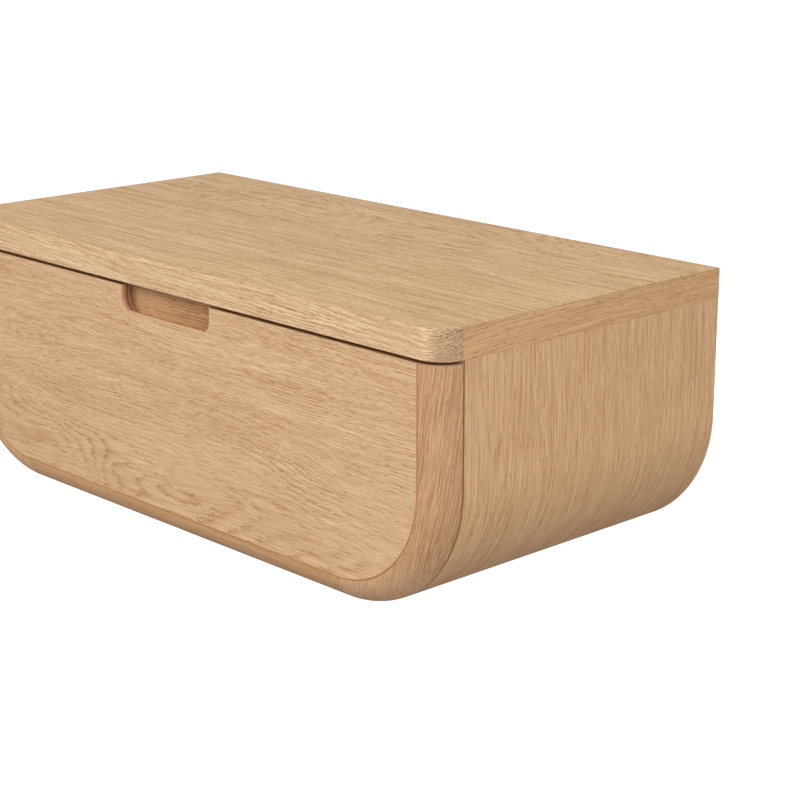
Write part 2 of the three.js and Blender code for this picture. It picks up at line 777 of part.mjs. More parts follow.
function addLever({ name, sign }) {
  const spot = leverSpot(sign);
  const [webX, pivotY, pivotZ] = spot.at;
  const nearX = webX + sign * (slideSheet + jointGap);
  const farX = nearX + sign * leverThickness;
  const round = leverHeight / 2;
  const end = leverLength / 2 - round;
  const outline = [
    ...arc(pivotY - end, pivotZ, round, 90, 270, notchSteps),
    [pivotY + end, pivotZ - round],
    [pivotY + end + leverTabLength, pivotZ - round / 2],
    [pivotY + end + leverTabLength, pivotZ + round / 2],
    [pivotY + end, pivotZ + round],
  ];
  const [lowX, highX] = [nearX, farX].sort((a, b) => a - b);
  const hole = placed(rod(leverPinDiameter / 2 + jointGap, -overrun, slideWidth), spot);
  addPiece(`release_lever_${name}`, cut(prism(outline, 'x', lowX, highX), [hole]), blackPlastic);
  const pinLength = slideSheet + leverThickness + 2 * jointGap;
  const pin = turned([
    [0, 0],
    [leverPinDiameter / 2, 0],
    [leverPinDiameter / 2, pinLength],
    [leverPinHeadDiameter / 2, pinLength],
    [leverPinHeadDiameter / 2, pinLength + leverPinHeadHeight],
    [0, pinLength + leverPinHeadHeight],
  ]);
  addPlaced(`lever_pin_${name}`, pin, zincSteel, spot);
}

addTop();
addShell();
addBackPanel();
addHangingRail();
addWallCleat();
addDowels();
addSlideScrews();
addFrontLayers();
addFrontLippings();
addBumpers();
addFrontScrews();
addDrawerBox();
addMemberScrews();
sides.forEach(addSlide);
sides.forEach(addLever);

export default nightstand;
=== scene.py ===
import math

import bmesh
import bpy
from mathutils import Euler, Matrix, Vector


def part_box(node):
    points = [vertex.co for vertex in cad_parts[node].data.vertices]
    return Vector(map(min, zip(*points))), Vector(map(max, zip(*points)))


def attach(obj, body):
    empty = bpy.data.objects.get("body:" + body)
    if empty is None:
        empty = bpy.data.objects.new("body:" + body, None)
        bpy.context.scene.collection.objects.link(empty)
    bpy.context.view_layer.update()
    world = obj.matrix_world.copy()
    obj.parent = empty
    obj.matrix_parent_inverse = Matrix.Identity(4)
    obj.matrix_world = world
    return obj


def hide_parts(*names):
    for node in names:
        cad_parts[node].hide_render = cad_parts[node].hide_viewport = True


# Floating oak nightstand, hung on a wall. Metres, +Z up, the wall at y = 0, the front towards -Y.
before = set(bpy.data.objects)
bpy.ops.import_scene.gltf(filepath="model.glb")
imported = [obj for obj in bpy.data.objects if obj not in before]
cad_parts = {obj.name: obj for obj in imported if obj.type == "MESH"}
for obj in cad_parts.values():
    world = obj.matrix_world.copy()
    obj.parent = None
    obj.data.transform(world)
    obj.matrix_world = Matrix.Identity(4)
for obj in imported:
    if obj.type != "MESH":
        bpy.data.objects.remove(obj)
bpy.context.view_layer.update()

MM = 0.001
LEFT_AND_RIGHT = {"left": -1, "right": 1}

# Sizes that the frame gives
top_low, top_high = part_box("top_veneer")
under_low, under_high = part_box("top_underside_veneer")
shell_low, shell_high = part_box("bent_shell")
skin_low, skin_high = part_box("drawer_front_panel")
backing_low, backing_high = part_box("drawer_front_backing")
lipping_low, lipping_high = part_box("drawer_front_right_lipping")
bottom_lipping_low, bottom_lipping_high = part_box("drawer_front_bottom_lipping")
back_low, back_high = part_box("back_panel")
slide_low, slide_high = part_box("slide_outer_right")
slide_middle = (slide_low.z + slide_high.z) / 2

# Sizes of the shell and the top
SHELL_RADIUS = 112.5 * MM
SHELL_THICKNESS = 18 * MM
TOP_CORNER_RADIUS = 23 * MM
TOP_ARRIS = 1.1 * MM
TOP_UNDER_ARRIS = 0.35 * MM
SHELL_ARRIS = 0.5 * MM
GROOVE_DEPTH = 6 * MM
JOINT_GAP = 0.3 * MM

# Sizes of the drawer front
QUARTER_ROUND = 22.9 * MM
PANEL_RADIUS = 90 * MM
NOTCH_WIDTH = 116 * MM
NOTCH_HEIGHT = 22 * MM
NOTCH_RADIUS = 12 * MM
NOTCH_ARRIS = 1.6 * MM
NOTCH_RIM = 3.8 * MM
NOTCH_GROOVE = 4.4 * MM
NOTCH_GROOVE_REACH = 3.2 * MM
UNDERCUT_DEPTH = 1.6 * MM
UNDERCUT_REACH = 2.6 * MM
GLUE_LINE = 1.1 * MM
GRAIN_BOW = 32 * MM

# Sizes of the inner parts
PLY = 1.3 * MM
SHELL_PLIES = 13
BOARD_PLIES = 9
PANEL_PLIES = 5
BOARD_TOP_ROUND = 2.5 * MM
BOARD_ARRIS = 0.5 * MM
RAIL_ARRIS = 0.8 * MM
WALL_HOLE_RADIUS = 2.8 * MM
WALL_SINK_RADIUS = 4.8 * MM
WALL_HOLE_SHARES = (-0.8, -0.27, 0.27, 0.8)
DOWEL_HOLE_RADIUS = 4.3 * MM
SCREW_HOLE_RADIUS = 2.1 * MM
SHEET_ARRIS = 0.2 * MM
MOULDED_ARRIS = 0.5 * MM
BUMPER_ROUND = 0.6 * MM
BALL_RADIUS = 2 * MM
BALLS_PER_ROW = 8
CAGE_SHEET = 0.5 * MM
CAGE_LIP = 1.5 * MM
# A slot's ends are rounded by nearly half its height, which leaves a hair of flat
SLOT_ROUND = 0.98

# Sizes of the screws' tips, pan heads and cross recesses, and of the levers' pins
SCREW_TIP = 3 * MM
SCREW_POINT_RADIUS = 0.2 * MM
SHANK_IN_HEAD = 0.5 * MM
PAN_ROUND = 1.2 * MM
RECESS_REACH = 1.8 * MM
RECESS_HALF_WIDTH = 0.45 * MM
RECESS_DEPTH = 1.1 * MM
PIN_LENGTH = 4.8 * MM
PIN_RADIUS = 1.5 * MM
PIN_HEAD_RADIUS = 2.7 * MM
PIN_HEAD_HEIGHT = 0.8 * MM
PIN_ROUND = 0.4 * MM

# How far a cutting tool stands out of what it cuts, and the steps of a quarter bend
OVERRUN = 5 * MM
BEND_STEPS = 48

# Tolerances: of places, saw cuts and points that coincide, and what counts as sharp, straight and square
NEAR = 0.02 * MM
SNAP = 0.001 * MM
MERGE = 0.002 * MM
SHARP = math.radians(20)
STRAIGHT = 0.999
SQUARE = 0.9


# Shaping
def select_only(piece):
    bpy.ops.object.select_all(action="DESELECT")
    piece.select_set(True)
    bpy.context.view_layer.objects.active = piece


def edit(piece):
    select_only(piece)
    bpy.ops.object.mode_set(mode="EDIT")
    bpy.ops.mesh.select_all(action="SELECT")


def leave_edit():
    bpy.ops.object.mode_set(mode="OBJECT")


def set_down(name):
    """Names the new primitive and moves its place into its mesh."""
    piece = bpy.context.object
    piece.name = name
    piece.data.name = name
    bpy.ops.object.transform_apply(location=True, rotation=True, scale=True)
    return piece


def block(name, corner, opposite):
    corner, opposite = Vector(corner), Vector(opposite)
    bpy.ops.object.select_all(action="DESELECT")
    bpy.ops.mesh.primitive_cube_add(size=1, location=(corner + opposite) / 2)
    bpy.context.object.scale = [abs(size) for size in opposite - corner]
    return set_down(name)


def rod(name, start, end, radius, end_radius=None, sides=32):
    start, end = Vector(start), Vector(end)
    bpy.ops.object.select_all(action="DESELECT")
    bpy.ops.mesh.primitive_cone_add(
        vertices=sides,
        radius1=radius,
        radius2=radius if end_radius is None else end_radius,
        depth=(end - start).length,
        location=(start + end) / 2,
        rotation=(end - start).to_track_quat("Z", "Y").to_euler(),
    )
    return set_down(name)


def copy_of(piece, name):
    made = bpy.data.objects.new(name, piece.data.copy())
    made.data.name = name
    bpy.context.scene.collection.objects.link(made)
    return made


def stand(piece, name, place, towards):
    """A copy of a piece made upright at the origin, set at its place and pointing its own way."""
    made = copy_of(piece, name)
    turn = Vector(towards).to_track_quat("Z", "Y").to_matrix().to_4x4()
    made.data.transform(Matrix.Translation(place) @ turn)
    return made


def joined(pieces, name):
    bpy.ops.object.select_all(action="DESELECT")
    for piece in pieces:
        piece.select_set(True)
    bpy.context.view_layer.objects.active = pieces[0]
    bpy.ops.object.join()
    pieces[0].name = name
    pieces[0].data.name = name
    return pieces[0]


def pick_edges(piece, test, axis=None):
    """In edit mode, selects the sharp edges whose middle passes the test, along one axis if given."""
    bpy.ops.mesh.select_mode(type="EDGE")
    bpy.ops.mesh.select_all(action="DESELECT")
    shape = bmesh.from_edit_mesh(piece.data)
    for edge in shape.edges:
        start, end = (point.co for point in edge.verts)
        runs = axis is None or abs((end - start).normalized()[axis]) > STRAIGHT
        sharp = edge.calc_face_angle(0) > SHARP
        edge.select_set(runs and sharp and test((start + end) / 2))
    bmesh.update_edit_mesh(piece.data)


def pick_faces(piece, test):
    """In edit mode, selects the faces whose middle and normal pass the test."""
    bpy.ops.mesh.select_mode(type="FACE")
    bpy.ops.mesh.select_all(action="DESELECT")
    shape = bmesh.from_edit_mesh(piece.data)
    for face in shape.faces:
        face.select_set(test(face.calc_center_median(), face.normal))
    bmesh.update_edit_mesh(piece.data)


def round_edges(piece, radius, steps, test, axis=None):
    edit(piece)
    pick_edges(piece, test, axis)
    bpy.ops.mesh.bevel(offset=radius, segments=steps, affect="EDGES", clamp_overlap=False)
    leave_edit()


def modify(piece, kind, **settings):
    """Adds a modifier with its settings and applies it."""
    select_only(piece)
    modifier = piece.modifiers.new(kind.title(), kind)
    for name, value in settings.items():
        setattr(modifier, name, value)
    bpy.ops.object.modifier_apply(modifier=modifier.name)


def cut_away(piece, tools, operation="DIFFERENCE"):
    for tool in tools:
        modify(piece, "BOOLEAN", object=tool, operation=operation, solver="EXACT")
        bpy.data.objects.remove(tool)


def saw(piece, point, away):
    """Cuts off what lies beyond a plane and closes the cut."""
    edit(piece)
    bpy.ops.mesh.bisect(plane_co=point, plane_no=away, use_fill=True, clear_outer=True, threshold=SNAP)
    leave_edit()
    return piece


def keep_between(piece, axis, low, high):
    for place, side in ((low, -1), (high, 1)):
        away = [0, 0, 0]
        away[axis] = side
        point = [0, 0, 0]
        point[axis] = place
        saw(piece, point, away)
    return piece


def drill(piece, nodes, radius):
    """Bores the holes that screws or dowels sit in, along the longest way of each."""
    bits = []
    for node in nodes:
        low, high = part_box(node)
        size = high - low
        axis = max(range(3), key=lambda each: size[each])
        start = (low + high) / 2
        end = start.copy()
        start[axis] = low[axis] - JOINT_GAP
        end[axis] = high[axis] + JOINT_GAP
        bits.append(rod("bit", start, end, radius, sides=24))
    cut_away(piece, [joined(bits, "bits")])
    return piece


def punch(piece, slots):
    """Punches slots with round ends through an upright web: each has a place, a length and a height."""
    points = [point.co for point in piece.data.vertices]
    front = min(point.y for point in points)
    inner = min(point.x for point in points) - OVERRUN
    outer = max(point.x for point in points) + OVERRUN
    tools = []
    for place, length, height in slots:
        y = front + place * MM
        reach = length * MM / 2
        rise = height * MM / 2
        tool = block("slot", (inner, y - reach, slide_middle - rise),
                     (outer, y + reach, slide_middle + rise))
        round_edges(tool, rise * SLOT_ROUND, 8, lambda spot: True, axis=0)
        tools.append(tool)
    cut_away(piece, [joined(tools, "slots")])
    return piece


def ease(piece, radius, sharper_than=50):
    """Rounds every edge that is sharper than an angle."""
    modify(piece, "BEVEL", width=radius, segments=2, limit_method="ANGLE",
           angle_limit=math.radians(sharper_than), use_clamp_overlap=True)
    return piece


def merged_copy(node, name):
    """A copy of a CAD node, merged, with its flat faces made whole."""
    piece = copy_of(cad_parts[node], name)
    piece.data.materials.clear()
    edit(piece)
    bpy.ops.mesh.customdata_custom_splitnormals_clear()
    bpy.ops.mesh.remove_doubles(threshold=MERGE)
    bpy.ops.mesh.dissolve_limited(angle_limit=math.radians(0.5))
    leave_edit()
    return piece


def clean(piece, smooth_below=30):
    """Merges what coincides, turns the faces outwards and smooths the shallow angles."""
    edit(piece)
    bpy.ops.mesh.remove_doubles(threshold=MERGE)
    bpy.ops.mesh.normals_make_consistent(inside=False)
    leave_edit()
    bpy.ops.object.shade_smooth_by_angle(angle=math.radians(smooth_below))
    return piece


def bent_strip(name, half, thickness, radius, low, top, front, back):
    """A U of sheet: its end drawn down, spun round a bend, drawn across, spun and drawn up."""
    bend_x = half - radius
    bend_z = low + radius
    bpy.ops.object.select_all(action="DESELECT")
    bpy.ops.mesh.primitive_plane_add(size=1, location=(thickness / 2 - half, (front + back) / 2, top))
    bpy.context.object.scale = (thickness, back - front, 1)
    piece = set_down(name)
    edit(piece)
    quarter = {"steps": BEND_STEPS, "angle": math.pi / 2, "axis": (0, 1, 0)}
    bpy.ops.mesh.extrude_region_move(TRANSFORM_OT_translate={"value": (0, 0, bend_z - top)})
    bpy.ops.mesh.spin(center=(-bend_x, 0, bend_z), **quarter)
    bpy.ops.mesh.extrude_region_move(TRANSFORM_OT_translate={"value": (2 * bend_x, 0, 0)})
    bpy.ops.mesh.spin(center=(bend_x, 0, bend_z), **quarter)
    bpy.ops.mesh.extrude_region_move(TRANSFORM_OT_translate={"value": (0, 0, top - bend_z)})
    leave_edit()
    return clean(piece)


def u_plate(name, half, low, top, radius, front, back):
    """A board with a U outline: a block with its two lower corners rounded."""
    piece = block(name, (-half, front, low), (half, back, top))
    round_edges(piece, radius, BEND_STEPS, lambda place: place.z < low + NEAR, axis=1)
    return piece


# Finishes
def colour(text):
    """An sRGB hex value as linear RGBA."""
    parts = [int(text[i:i + 2], 16) / 255 for i in (1, 3, 5)]
    return [c / 12.92 if c <= 0.04045 else ((c + 0.055) / 1.055) ** 2.4 for c in parts] + [1]


def add(tree, kind, inputs=(), **settings):
    """Adds a node with its settings, links or sets its inputs, and gives its outputs."""
    node = tree.nodes.new(kind)
    for name, value in settings.items():
        setattr(node, name, value)
    for key, value in dict(inputs).items():
        if isinstance(value, bpy.types.NodeSocket):
            tree.links.new(value, node.inputs[key])
        else:
            node.inputs[key].default_value = value
    return node.outputs


def new_finish(name):
    material = bpy.data.materials.new(name)
    material.use_nodes = True
    material.node_tree.nodes.clear()
    return material, material.node_tree


def blotches(tree, place, frequency, detail=1, turn=(0, 0, 0)):
    """Soft noise, stretched by its frequency along each axis and turned by radians."""
    spread = add(tree, "ShaderNodeMapping", {"Vector": place, "Scale": frequency, "Rotation": turn})[0]
    return add(tree, "ShaderNodeTexNoise", {"Vector": spread, "Scale": 1, "Detail": detail})


def close_finish(tree, base, tone, gloss, height, strength, depth, dents=True, **sockets):
    """Ends a finish: its roughness follows the tone, and its bumps, depth in millimetres, the height.

    Sockets are further values of the shader, the same all over the surface.
    """
    sheen = add(tree, "ShaderNodeMapRange", {"Value": tone, "To Min": gloss[0], "To Max": gloss[1]})[0]
    bumps = add(tree, "ShaderNodeBump", {
        "Strength": strength, "Distance": depth * MM, "Height": height,
    }, invert=dents)[0]
    values = {name.replace("_", " "): value for name, value in sockets.items()}
    shader = add(tree, "ShaderNodeBsdfPrincipled", {
        "Base Color": base, "Roughness": sheen, "Normal": bumps, **values,
    })["BSDF"]
    add(tree, "ShaderNodeOutputMaterial", {"Surface": shader})


# Which way the grain runs: the turn that brings it to the pattern's first axis
GRAIN_ACROSS_TOP = (0, 0, 0)
GRAIN_ACROSS_FRONT = (-90, 0, 0)
GRAIN_TO_WALL = (0, 0, -90)
GRAIN_UPRIGHT = (0, 90, 0)
END_GRAIN = "#80634c"
# The turn of the noise against its own cells, whose rows would show across the grain
OFF_LATTICE = (0.7, 0.5, 0.9)
# Slow and quick wandering of the fibres: its length and its width in millimetres
WANDERINGS = ((210, 60), (38, 12))
# Threads of fibre: length and width in millimetres, and how much each kind shows
THREADS = ((110, 3.2, 0.4), (48, 1.0, 0.8), (22, 0.6, 1.3))
# Pores as they are drawn, in millimetres
PORE_WIDTH = 0.7
# How many rings their width varies by, and how many the pores fray them by
RING_UNEVEN = 2.4
RING_FRAY = 1.1


def oak(name, light, dark, pore, grain, pith, tilt=(0, 0, 0), ring=3.0, wander=(10, 2.2), coarse=1.2,
        length=1.6, through=(1, 0.25), contrast=1.0, ring_share=0.4, tone=0.3, pore_share=0.75,
        pore_length=7, paler=None, along=None, roughness=0.58):
    """Oak, planed and sanded, with a clear matt lacquer.

    The pattern is that of the tree: growth rings round a pith line, open pores in their early wood
    and long threads of fibre, so a board shows arches on its face and dots on its end.
    Pores and the finest threads are 0.3 mm wide on the real board, and are drawn up to four times as
    wide to show: coarse is highest where the photograph sees a face at a slant. Through stretches
    them down into the board, second and third axis, so that they run long on its face though the
    grain dips a little. Ring, wander and pith are in millimetres, and each frequency is one over a
    size in millimetres, first along the grain.
    Paler makes a board paler towards one end, painted light: where it starts, where it is full, and how
    pale.
    """
    material, tree = new_finish(name)
    turn = (Euler([math.radians(a) for a in tilt]).to_matrix()
            @ Euler([math.radians(a) for a in grain]).to_matrix())
    if along:
        place = add(tree, "ShaderNodeAttribute", attribute_name=along)["Vector"]
    else:
        place = add(tree, "ShaderNodeTexCoord")["Object"]
    in_tree = add(tree, "ShaderNodeMapping", {
        "Vector": place, "Location": pith, "Rotation": turn.to_euler(), "Scale": [1 / MM] * 3,
    })["Vector"]
    for (span, width), sway in zip(WANDERINGS, wander):
        noise = blotches(tree, in_tree, (1 / span, 1 / width, 1 / width), 1.5)["Color"]
        offset = add(tree, "ShaderNodeVectorMath", {
            0: noise, 1: (0, sway, sway), 2: (0, -sway / 2, -sway / 2),
        }, operation="MULTIPLY_ADD")[0]
        in_tree = add(tree, "ShaderNodeVectorMath", {0: in_tree, 1: offset}, operation="ADD")[0]

    # Distance from the pith and way round it
    part = add(tree, "ShaderNodeSeparateXYZ", {0: in_tree})
    flat = add(tree, "ShaderNodeCombineXYZ", {"Y": part["Y"], "Z": part["Z"]})[0]
    radius = add(tree, "ShaderNodeVectorMath", {0: flat}, operation="LENGTH")["Value"]
    angle = add(tree, "ShaderNodeMath", {0: part["Y"], 1: part["Z"]}, operation="ARCTAN2")[0]
    arc = add(tree, "ShaderNodeMath", {0: angle, 1: radius}, operation="MULTIPLY")[0]
    in_rings = add(tree, "ShaderNodeCombineXYZ", {"X": part["X"], "Y": radius, "Z": arc})[0]

    # Open pores are short fine grooves along the fibres. They also fray the rings.
    across = [share / (PORE_WIDTH * coarse) for share in through]
    pore_noise = blotches(tree, in_tree, (1 / pore_length, *across), turn=OFF_LATTICE)["Fac"]

    # Growth rings of uneven width: porous early wood at the start of each, fading into late wood
    uneven = blotches(tree, in_rings, (1 / 200, 1 / 9, 1 / 60), 2)["Fac"]
    count = add(tree, "ShaderNodeMath", {0: radius, 1: 1 / ring}, operation="MULTIPLY")[0]
    for noise, share in ((uneven, RING_UNEVEN), (pore_noise, RING_FRAY)):
        count = add(tree, "ShaderNodeMath", {0: noise, 1: share, 2: count}, operation="MULTIPLY_ADD")[0]
    within_ring = add(tree, "ShaderNodeMath", {0: count}, operation="FRACT")[0]
    early = add(tree, "ShaderNodeMapRange", {
        "Value": within_ring, "From Min": 0.05, "From Max": 0.5, "To Min": 1, "To Max": 0,
    }, interpolation_type="SMOOTHSTEP")[0]

    # Rings stand out in some places and fade in others, and the pores break them up
    fading = blotches(tree, in_rings, (1 / 130, 1 / 14, 1 / 45))["Fac"]
    figure = early
    for noise, least, most in ((fading, 0.2, 1.5), (pore_noise, 0.3, 1.7)):
        clear = add(tree, "ShaderNodeMapRange", {
            "Value": noise, "From Min": 0.35, "From Max": 0.65, "To Min": least, "To Max": most,
        })[0]
        figure = add(tree, "ShaderNodeMath", {0: figure, 1: clear}, operation="MULTIPLY")[0]

    # Most pores lie in the early wood
    pores = add(tree, "ShaderNodeMapRange", {
        "Value": pore_noise, "From Min": 0.54, "From Max": 0.68,
    }, interpolation_type="SMOOTHSTEP")[0]
    density = add(tree, "ShaderNodeMath", {0: early, 1: 0.75, 2: 0.25}, operation="MULTIPLY_ADD")[0]
    pores = add(tree, "ShaderNodeMath", {0: pores, 1: density}, operation="MULTIPLY")[0]

    # Threads of fibre, and a slow change of tone from one group of rings to the next
    total = sum(weight for *_, weight in THREADS) * contrast + tone
    darkness = add(tree, "ShaderNodeMath", {
        0: figure, 1: ring_share, 2: 0.5 - total / 2 - ring_share / 3,
    }, operation="MULTIPLY_ADD")[0]
    # Painted light: the wood turns paler towards one end of the board
    if paler:
        start, full, amount = paler
        painted_light_ramp = add(tree, "ShaderNodeMapRange", {
            "Value": part["X"], "From Min": start, "From Max": full, "To Max": -amount,
        }, interpolation_type="SMOOTHSTEP")[0]
        darkness = add(tree, "ShaderNodeMath", {0: darkness, 1: painted_light_ramp}, operation="ADD")[0]
    layers = [(in_rings, (1 / 240, 1 / 12, 1 / 50), tone)]
    for reach, breadth, weight in THREADS:
        across = [share / (breadth * coarse) for share in through]
        layers.append((in_tree, (1 / (reach * length), *across), weight * contrast))
    for pattern, frequency, weight in layers:
        noise = blotches(tree, pattern, frequency, turn=OFF_LATTICE)["Fac"]
        darkness = add(tree, "ShaderNodeMath", {0: noise, 1: weight, 2: darkness},
                       operation="MULTIPLY_ADD")[0]

    wood = add(tree, "ShaderNodeMix", {0: darkness, 6: colour(light), 7: colour(dark)}, data_type="RGBA")[2]
    amount = add(tree, "ShaderNodeMath", {0: pores, 1: pore_share}, operation="MULTIPLY")[0]
    wood = add(tree, "ShaderNodeMix", {0: amount, 6: wood, 7: colour(pore)}, data_type="RGBA")[2]

    # End grain drinks more lacquer, so it is darker and greyer, and its open pores are darker still
    if not along:
        axis = turn.inverted() @ Vector((1, 0, 0))
        facing = add(tree, "ShaderNodeVectorMath", {
            0: add(tree, "ShaderNodeTexCoord")["Normal"], 1: axis,
        }, operation="DOT_PRODUCT")["Value"]
        facing = add(tree, "ShaderNodeMath", {0: facing}, operation="ABSOLUTE")[0]
        end_grain = add(tree, "ShaderNodeMapRange", {
            "Value": facing, "From Min": 0.2, "From Max": 0.75,
        }, interpolation_type="SMOOTHSTEP")[0]
        soaked = add(tree, "ShaderNodeMath", {0: early, 1: 0.5, 2: 0.28}, operation="MULTIPLY_ADD")[0]
        soaked = add(tree, "ShaderNodeMath", {0: pores, 1: 0.9, 2: soaked}, operation="MULTIPLY_ADD")[0]
        soaked = add(tree, "ShaderNodeMath", {0: soaked, 1: end_grain}, operation="MULTIPLY")[0]
        wood = add(tree, "ShaderNodeMix", {0: soaked, 6: wood, 7: colour(END_GRAIN)}, data_type="RGBA")[2]

    close_finish(tree, wood, darkness, (roughness - 0.05, roughness + 0.05), pores, 0.35, 0.12,
                 IOR=1.5, Specular_IOR_Level=0.25)
    return material


def close_grained(name, light, dark, fleck, roughness, plies=False, fleck_share=0.6):
    """Beech or birch, planed and thinly lacquered: an even pale wood with soft streaks and short flecks.

    Plywood is crossed sheets of it, counted by the depth in the board: each second one is cut across on
    the edges, so it is darker and dotted there, with a hair of glue on both sides.
    The flecks are 0.2 mm wide on the real board, and are drawn twice as wide to show.
    """
    material, tree = new_finish(name)
    if plies:
        place = add(tree, "ShaderNodeAttribute", attribute_name="grain")["Vector"]
    else:
        place = add(tree, "ShaderNodeTexCoord")["Object"]
    in_board = add(tree, "ShaderNodeMapping", {"Vector": place, "Scale": [1 / MM] * 3})["Vector"]
    part = add(tree, "ShaderNodeSeparateXYZ", {0: in_board})
    crossed = glue = 0
    if plies:
        depth = add(tree, "ShaderNodeMath", {0: part["Z"], 1: MM / PLY}, operation="MULTIPLY")[0]
        layer = add(tree, "ShaderNodeMath", {0: depth}, operation="FLOOR")[0]
        crossed = add(tree, "ShaderNodeMath", {0: layer, 1: 2}, operation="FLOORED_MODULO")[0]
        across = add(tree, "ShaderNodeCombineXYZ", {"X": part["Y"], "Y": part["X"], "Z": part["Z"]})[0]
        in_board = add(tree, "ShaderNodeMix", {0: crossed, 4: in_board, 5: across}, data_type="VECTOR")[1]
        edge = add(tree, "ShaderNodeMath", {0: depth, 1: 0.5}, operation="PINGPONG")[0]
        glue = add(tree, "ShaderNodeMapRange", {
            "Value": edge, "From Min": 0.05, "From Max": 0.12, "To Min": 0.3, "To Max": 0,
        })[0]
        inside = add(tree, "ShaderNodeMath", {0: depth, 1: 0.3}, operation="GREATER_THAN")[0]
        glue = add(tree, "ShaderNodeMath", {0: glue, 1: inside}, operation="MULTIPLY")[0]
    darkness = add(tree, "ShaderNodeMath", {0: crossed, 1: 0.9, 2: -0.4}, operation="MULTIPLY_ADD")[0]
    darkness = add(tree, "ShaderNodeMath", {0: darkness, 1: glue}, operation="ADD")[0]
    for frequency, weight in (((1 / 180, 1 / 16, 1 / 16), 0.8), ((1 / 90, 1 / 2.2, 1 / 2.2), 0.7)):
        streak = blotches(tree, in_board, frequency, 2)["Fac"]
        darkness = add(tree, "ShaderNodeMath", {0: streak, 1: weight, 2: darkness},
                       operation="MULTIPLY_ADD")[0]
    noise = blotches(tree, in_board, (1 / 3.2, 2, 2), 0)["Fac"]
    flecks = add(tree, "ShaderNodeMapRange", {
        "Value": noise, "From Min": 0.62, "From Max": 0.72, "To Max": fleck_share,
    })[0]
    wood = add(tree, "ShaderNodeMix", {0: darkness, 6: colour(light), 7: colour(dark)}, data_type="RGBA")[2]
    wood = add(tree, "ShaderNodeMix", {0: flecks, 6: wood, 7: colour(fleck)}, data_type="RGBA")[2]
    close_finish(tree, wood, darkness, (roughness - 0.06, roughness + 0.06), darkness, 0.3, 0.06,
                 IOR=1.5, Specular_IOR_Level=0.35)
    return material


def chipboard(name, pale, brown, dust):
    """Pressed chips: flat flakes a few millimetres long, each of its own tone, with dark dust between."""
    material, tree = new_finish(name)
    spread = add(tree, "ShaderNodeMapping", {
        "Vector": add(tree, "ShaderNodeTexCoord")["Object"], "Scale": (0.28 / MM, 0.28 / MM, 1.1 / MM),
    })["Vector"]
    ragged = add(tree, "ShaderNodeTexNoise", {"Vector": spread, "Scale": 1.4, "Detail": 3})["Color"]
    spread = add(tree, "ShaderNodeVectorMath", {0: ragged, 1: (0.9, 0.9, 0.9), 2: spread},
                 operation="MULTIPLY_ADD")[0]
    flake = add(tree, "ShaderNodeTexVoronoi", {"Vector": spread, "Scale": 1})
    tone = add(tree, "ShaderNodeSeparateXYZ", {0: flake["Color"]})["X"]
    rim = add(tree, "ShaderNodeMapRange", {
        "Value": flake["Distance"], "From Min": 0.45, "From Max": 0.85, "To Max": 0.8,
    })[0]
    chips = add(tree, "ShaderNodeMix", {0: tone, 6: colour(pale), 7: colour(brown)}, data_type="RGBA")[2]
    chips = add(tree, "ShaderNodeMix", {0: rim, 6: chips, 7: colour(dust)}, data_type="RGBA")[2]
    close_finish(tree, chips, tone, (0.75, 0.9), flake["Distance"], 0.5, 0.15,
                 IOR=1.5, Specular_IOR_Level=0.2)
    return material


def plain(name, base, other, roughness, size, stretch=(1, 1, 1), bump=0.0, **sockets):
    """A finish with a soft change of tone and gloss, size millimetres across."""
    material, tree = new_finish(name)
    place = add(tree, "ShaderNodeTexCoord")["Object"]
    noise = blotches(tree, place, [s / (size * MM) for s in stretch], 3)["Fac"]
    mixed = add(tree, "ShaderNodeMix", {0: noise, 6: colour(base), 7: colour(other)}, data_type="RGBA")[2]
    close_finish(tree, mixed, noise, (roughness - 0.08, roughness + 0.08), noise, bump, 0.05,
                 dents=False, **sockets)
    return material


# Sliced veneer: warm straw, with broad arches along the top and threads drawn out by its low angle
top_oak = oak("oak_veneer_of_the_top", "#dbb88a", "#b0885a", "#976b43", GRAIN_ACROSS_TOP,
              pith=(0, 62, 80), tilt=(0, -2.3, 1), ring=1.7, wander=(24, 3), coarse=1.6, length=3.5,
              contrast=1.6)
# Sliced veneer: arches low at the left, and straighter grain above with open frayed rings
front_oak = oak("oak_veneer_of_the_front", "#e6c69d", "#b88a5f", "#98623b", GRAIN_ACROSS_FRONT,
                pith=(0, 95, -218), tilt=(0, -2.6, 0), ring=1.6, wander=(24, 1.2), coarse=1.0,
                length=1.4, through=(1, 0.5), contrast=1.05, ring_share=0.3, pore_share=0.5)
# Veneer cut square to the rings: fine even stripes that follow the bend
shell_oak = oak("oak_veneer_of_the_shell", "#e3bf94", "#b78a5e", "#97683d", GRAIN_ACROSS_TOP,
                pith=(0, 262, 100), tilt=(0, 1, 0.4), ring=1.6, wander=(10, 1.2), coarse=0.5,
                contrast=1.75, ring_share=0.2, tone=0.2, pore_share=0.85, along="grain")
# Solid strip: pale and straight along the edge, turning to grey dotted end grain round the corners
front_lipping_oak = oak("solid_oak_of_the_top_front_lipping", "#f1d6ac", "#b98c64", "#a46a41",
                        GRAIN_ACROSS_FRONT, pith=(0, 21, -255), tilt=(0, 2, 3), ring=1.8,
                        wander=(20, 2), coarse=0.9, contrast=1.3, ring_share=0.3)
# Solid strips: quiet and straight, a little yellower than the front
side_lipping_oak = oak("solid_oak_of_the_top_side_lippings", "#dab384", "#b98d62", "#996a3f",
                       GRAIN_TO_WALL, pith=(0, 260, 0), tilt=(0, 2, 2), ring=2, wander=(12, 1.2),
                       length=2, through=(0.25, 1), contrast=1.2, ring_share=0.2)
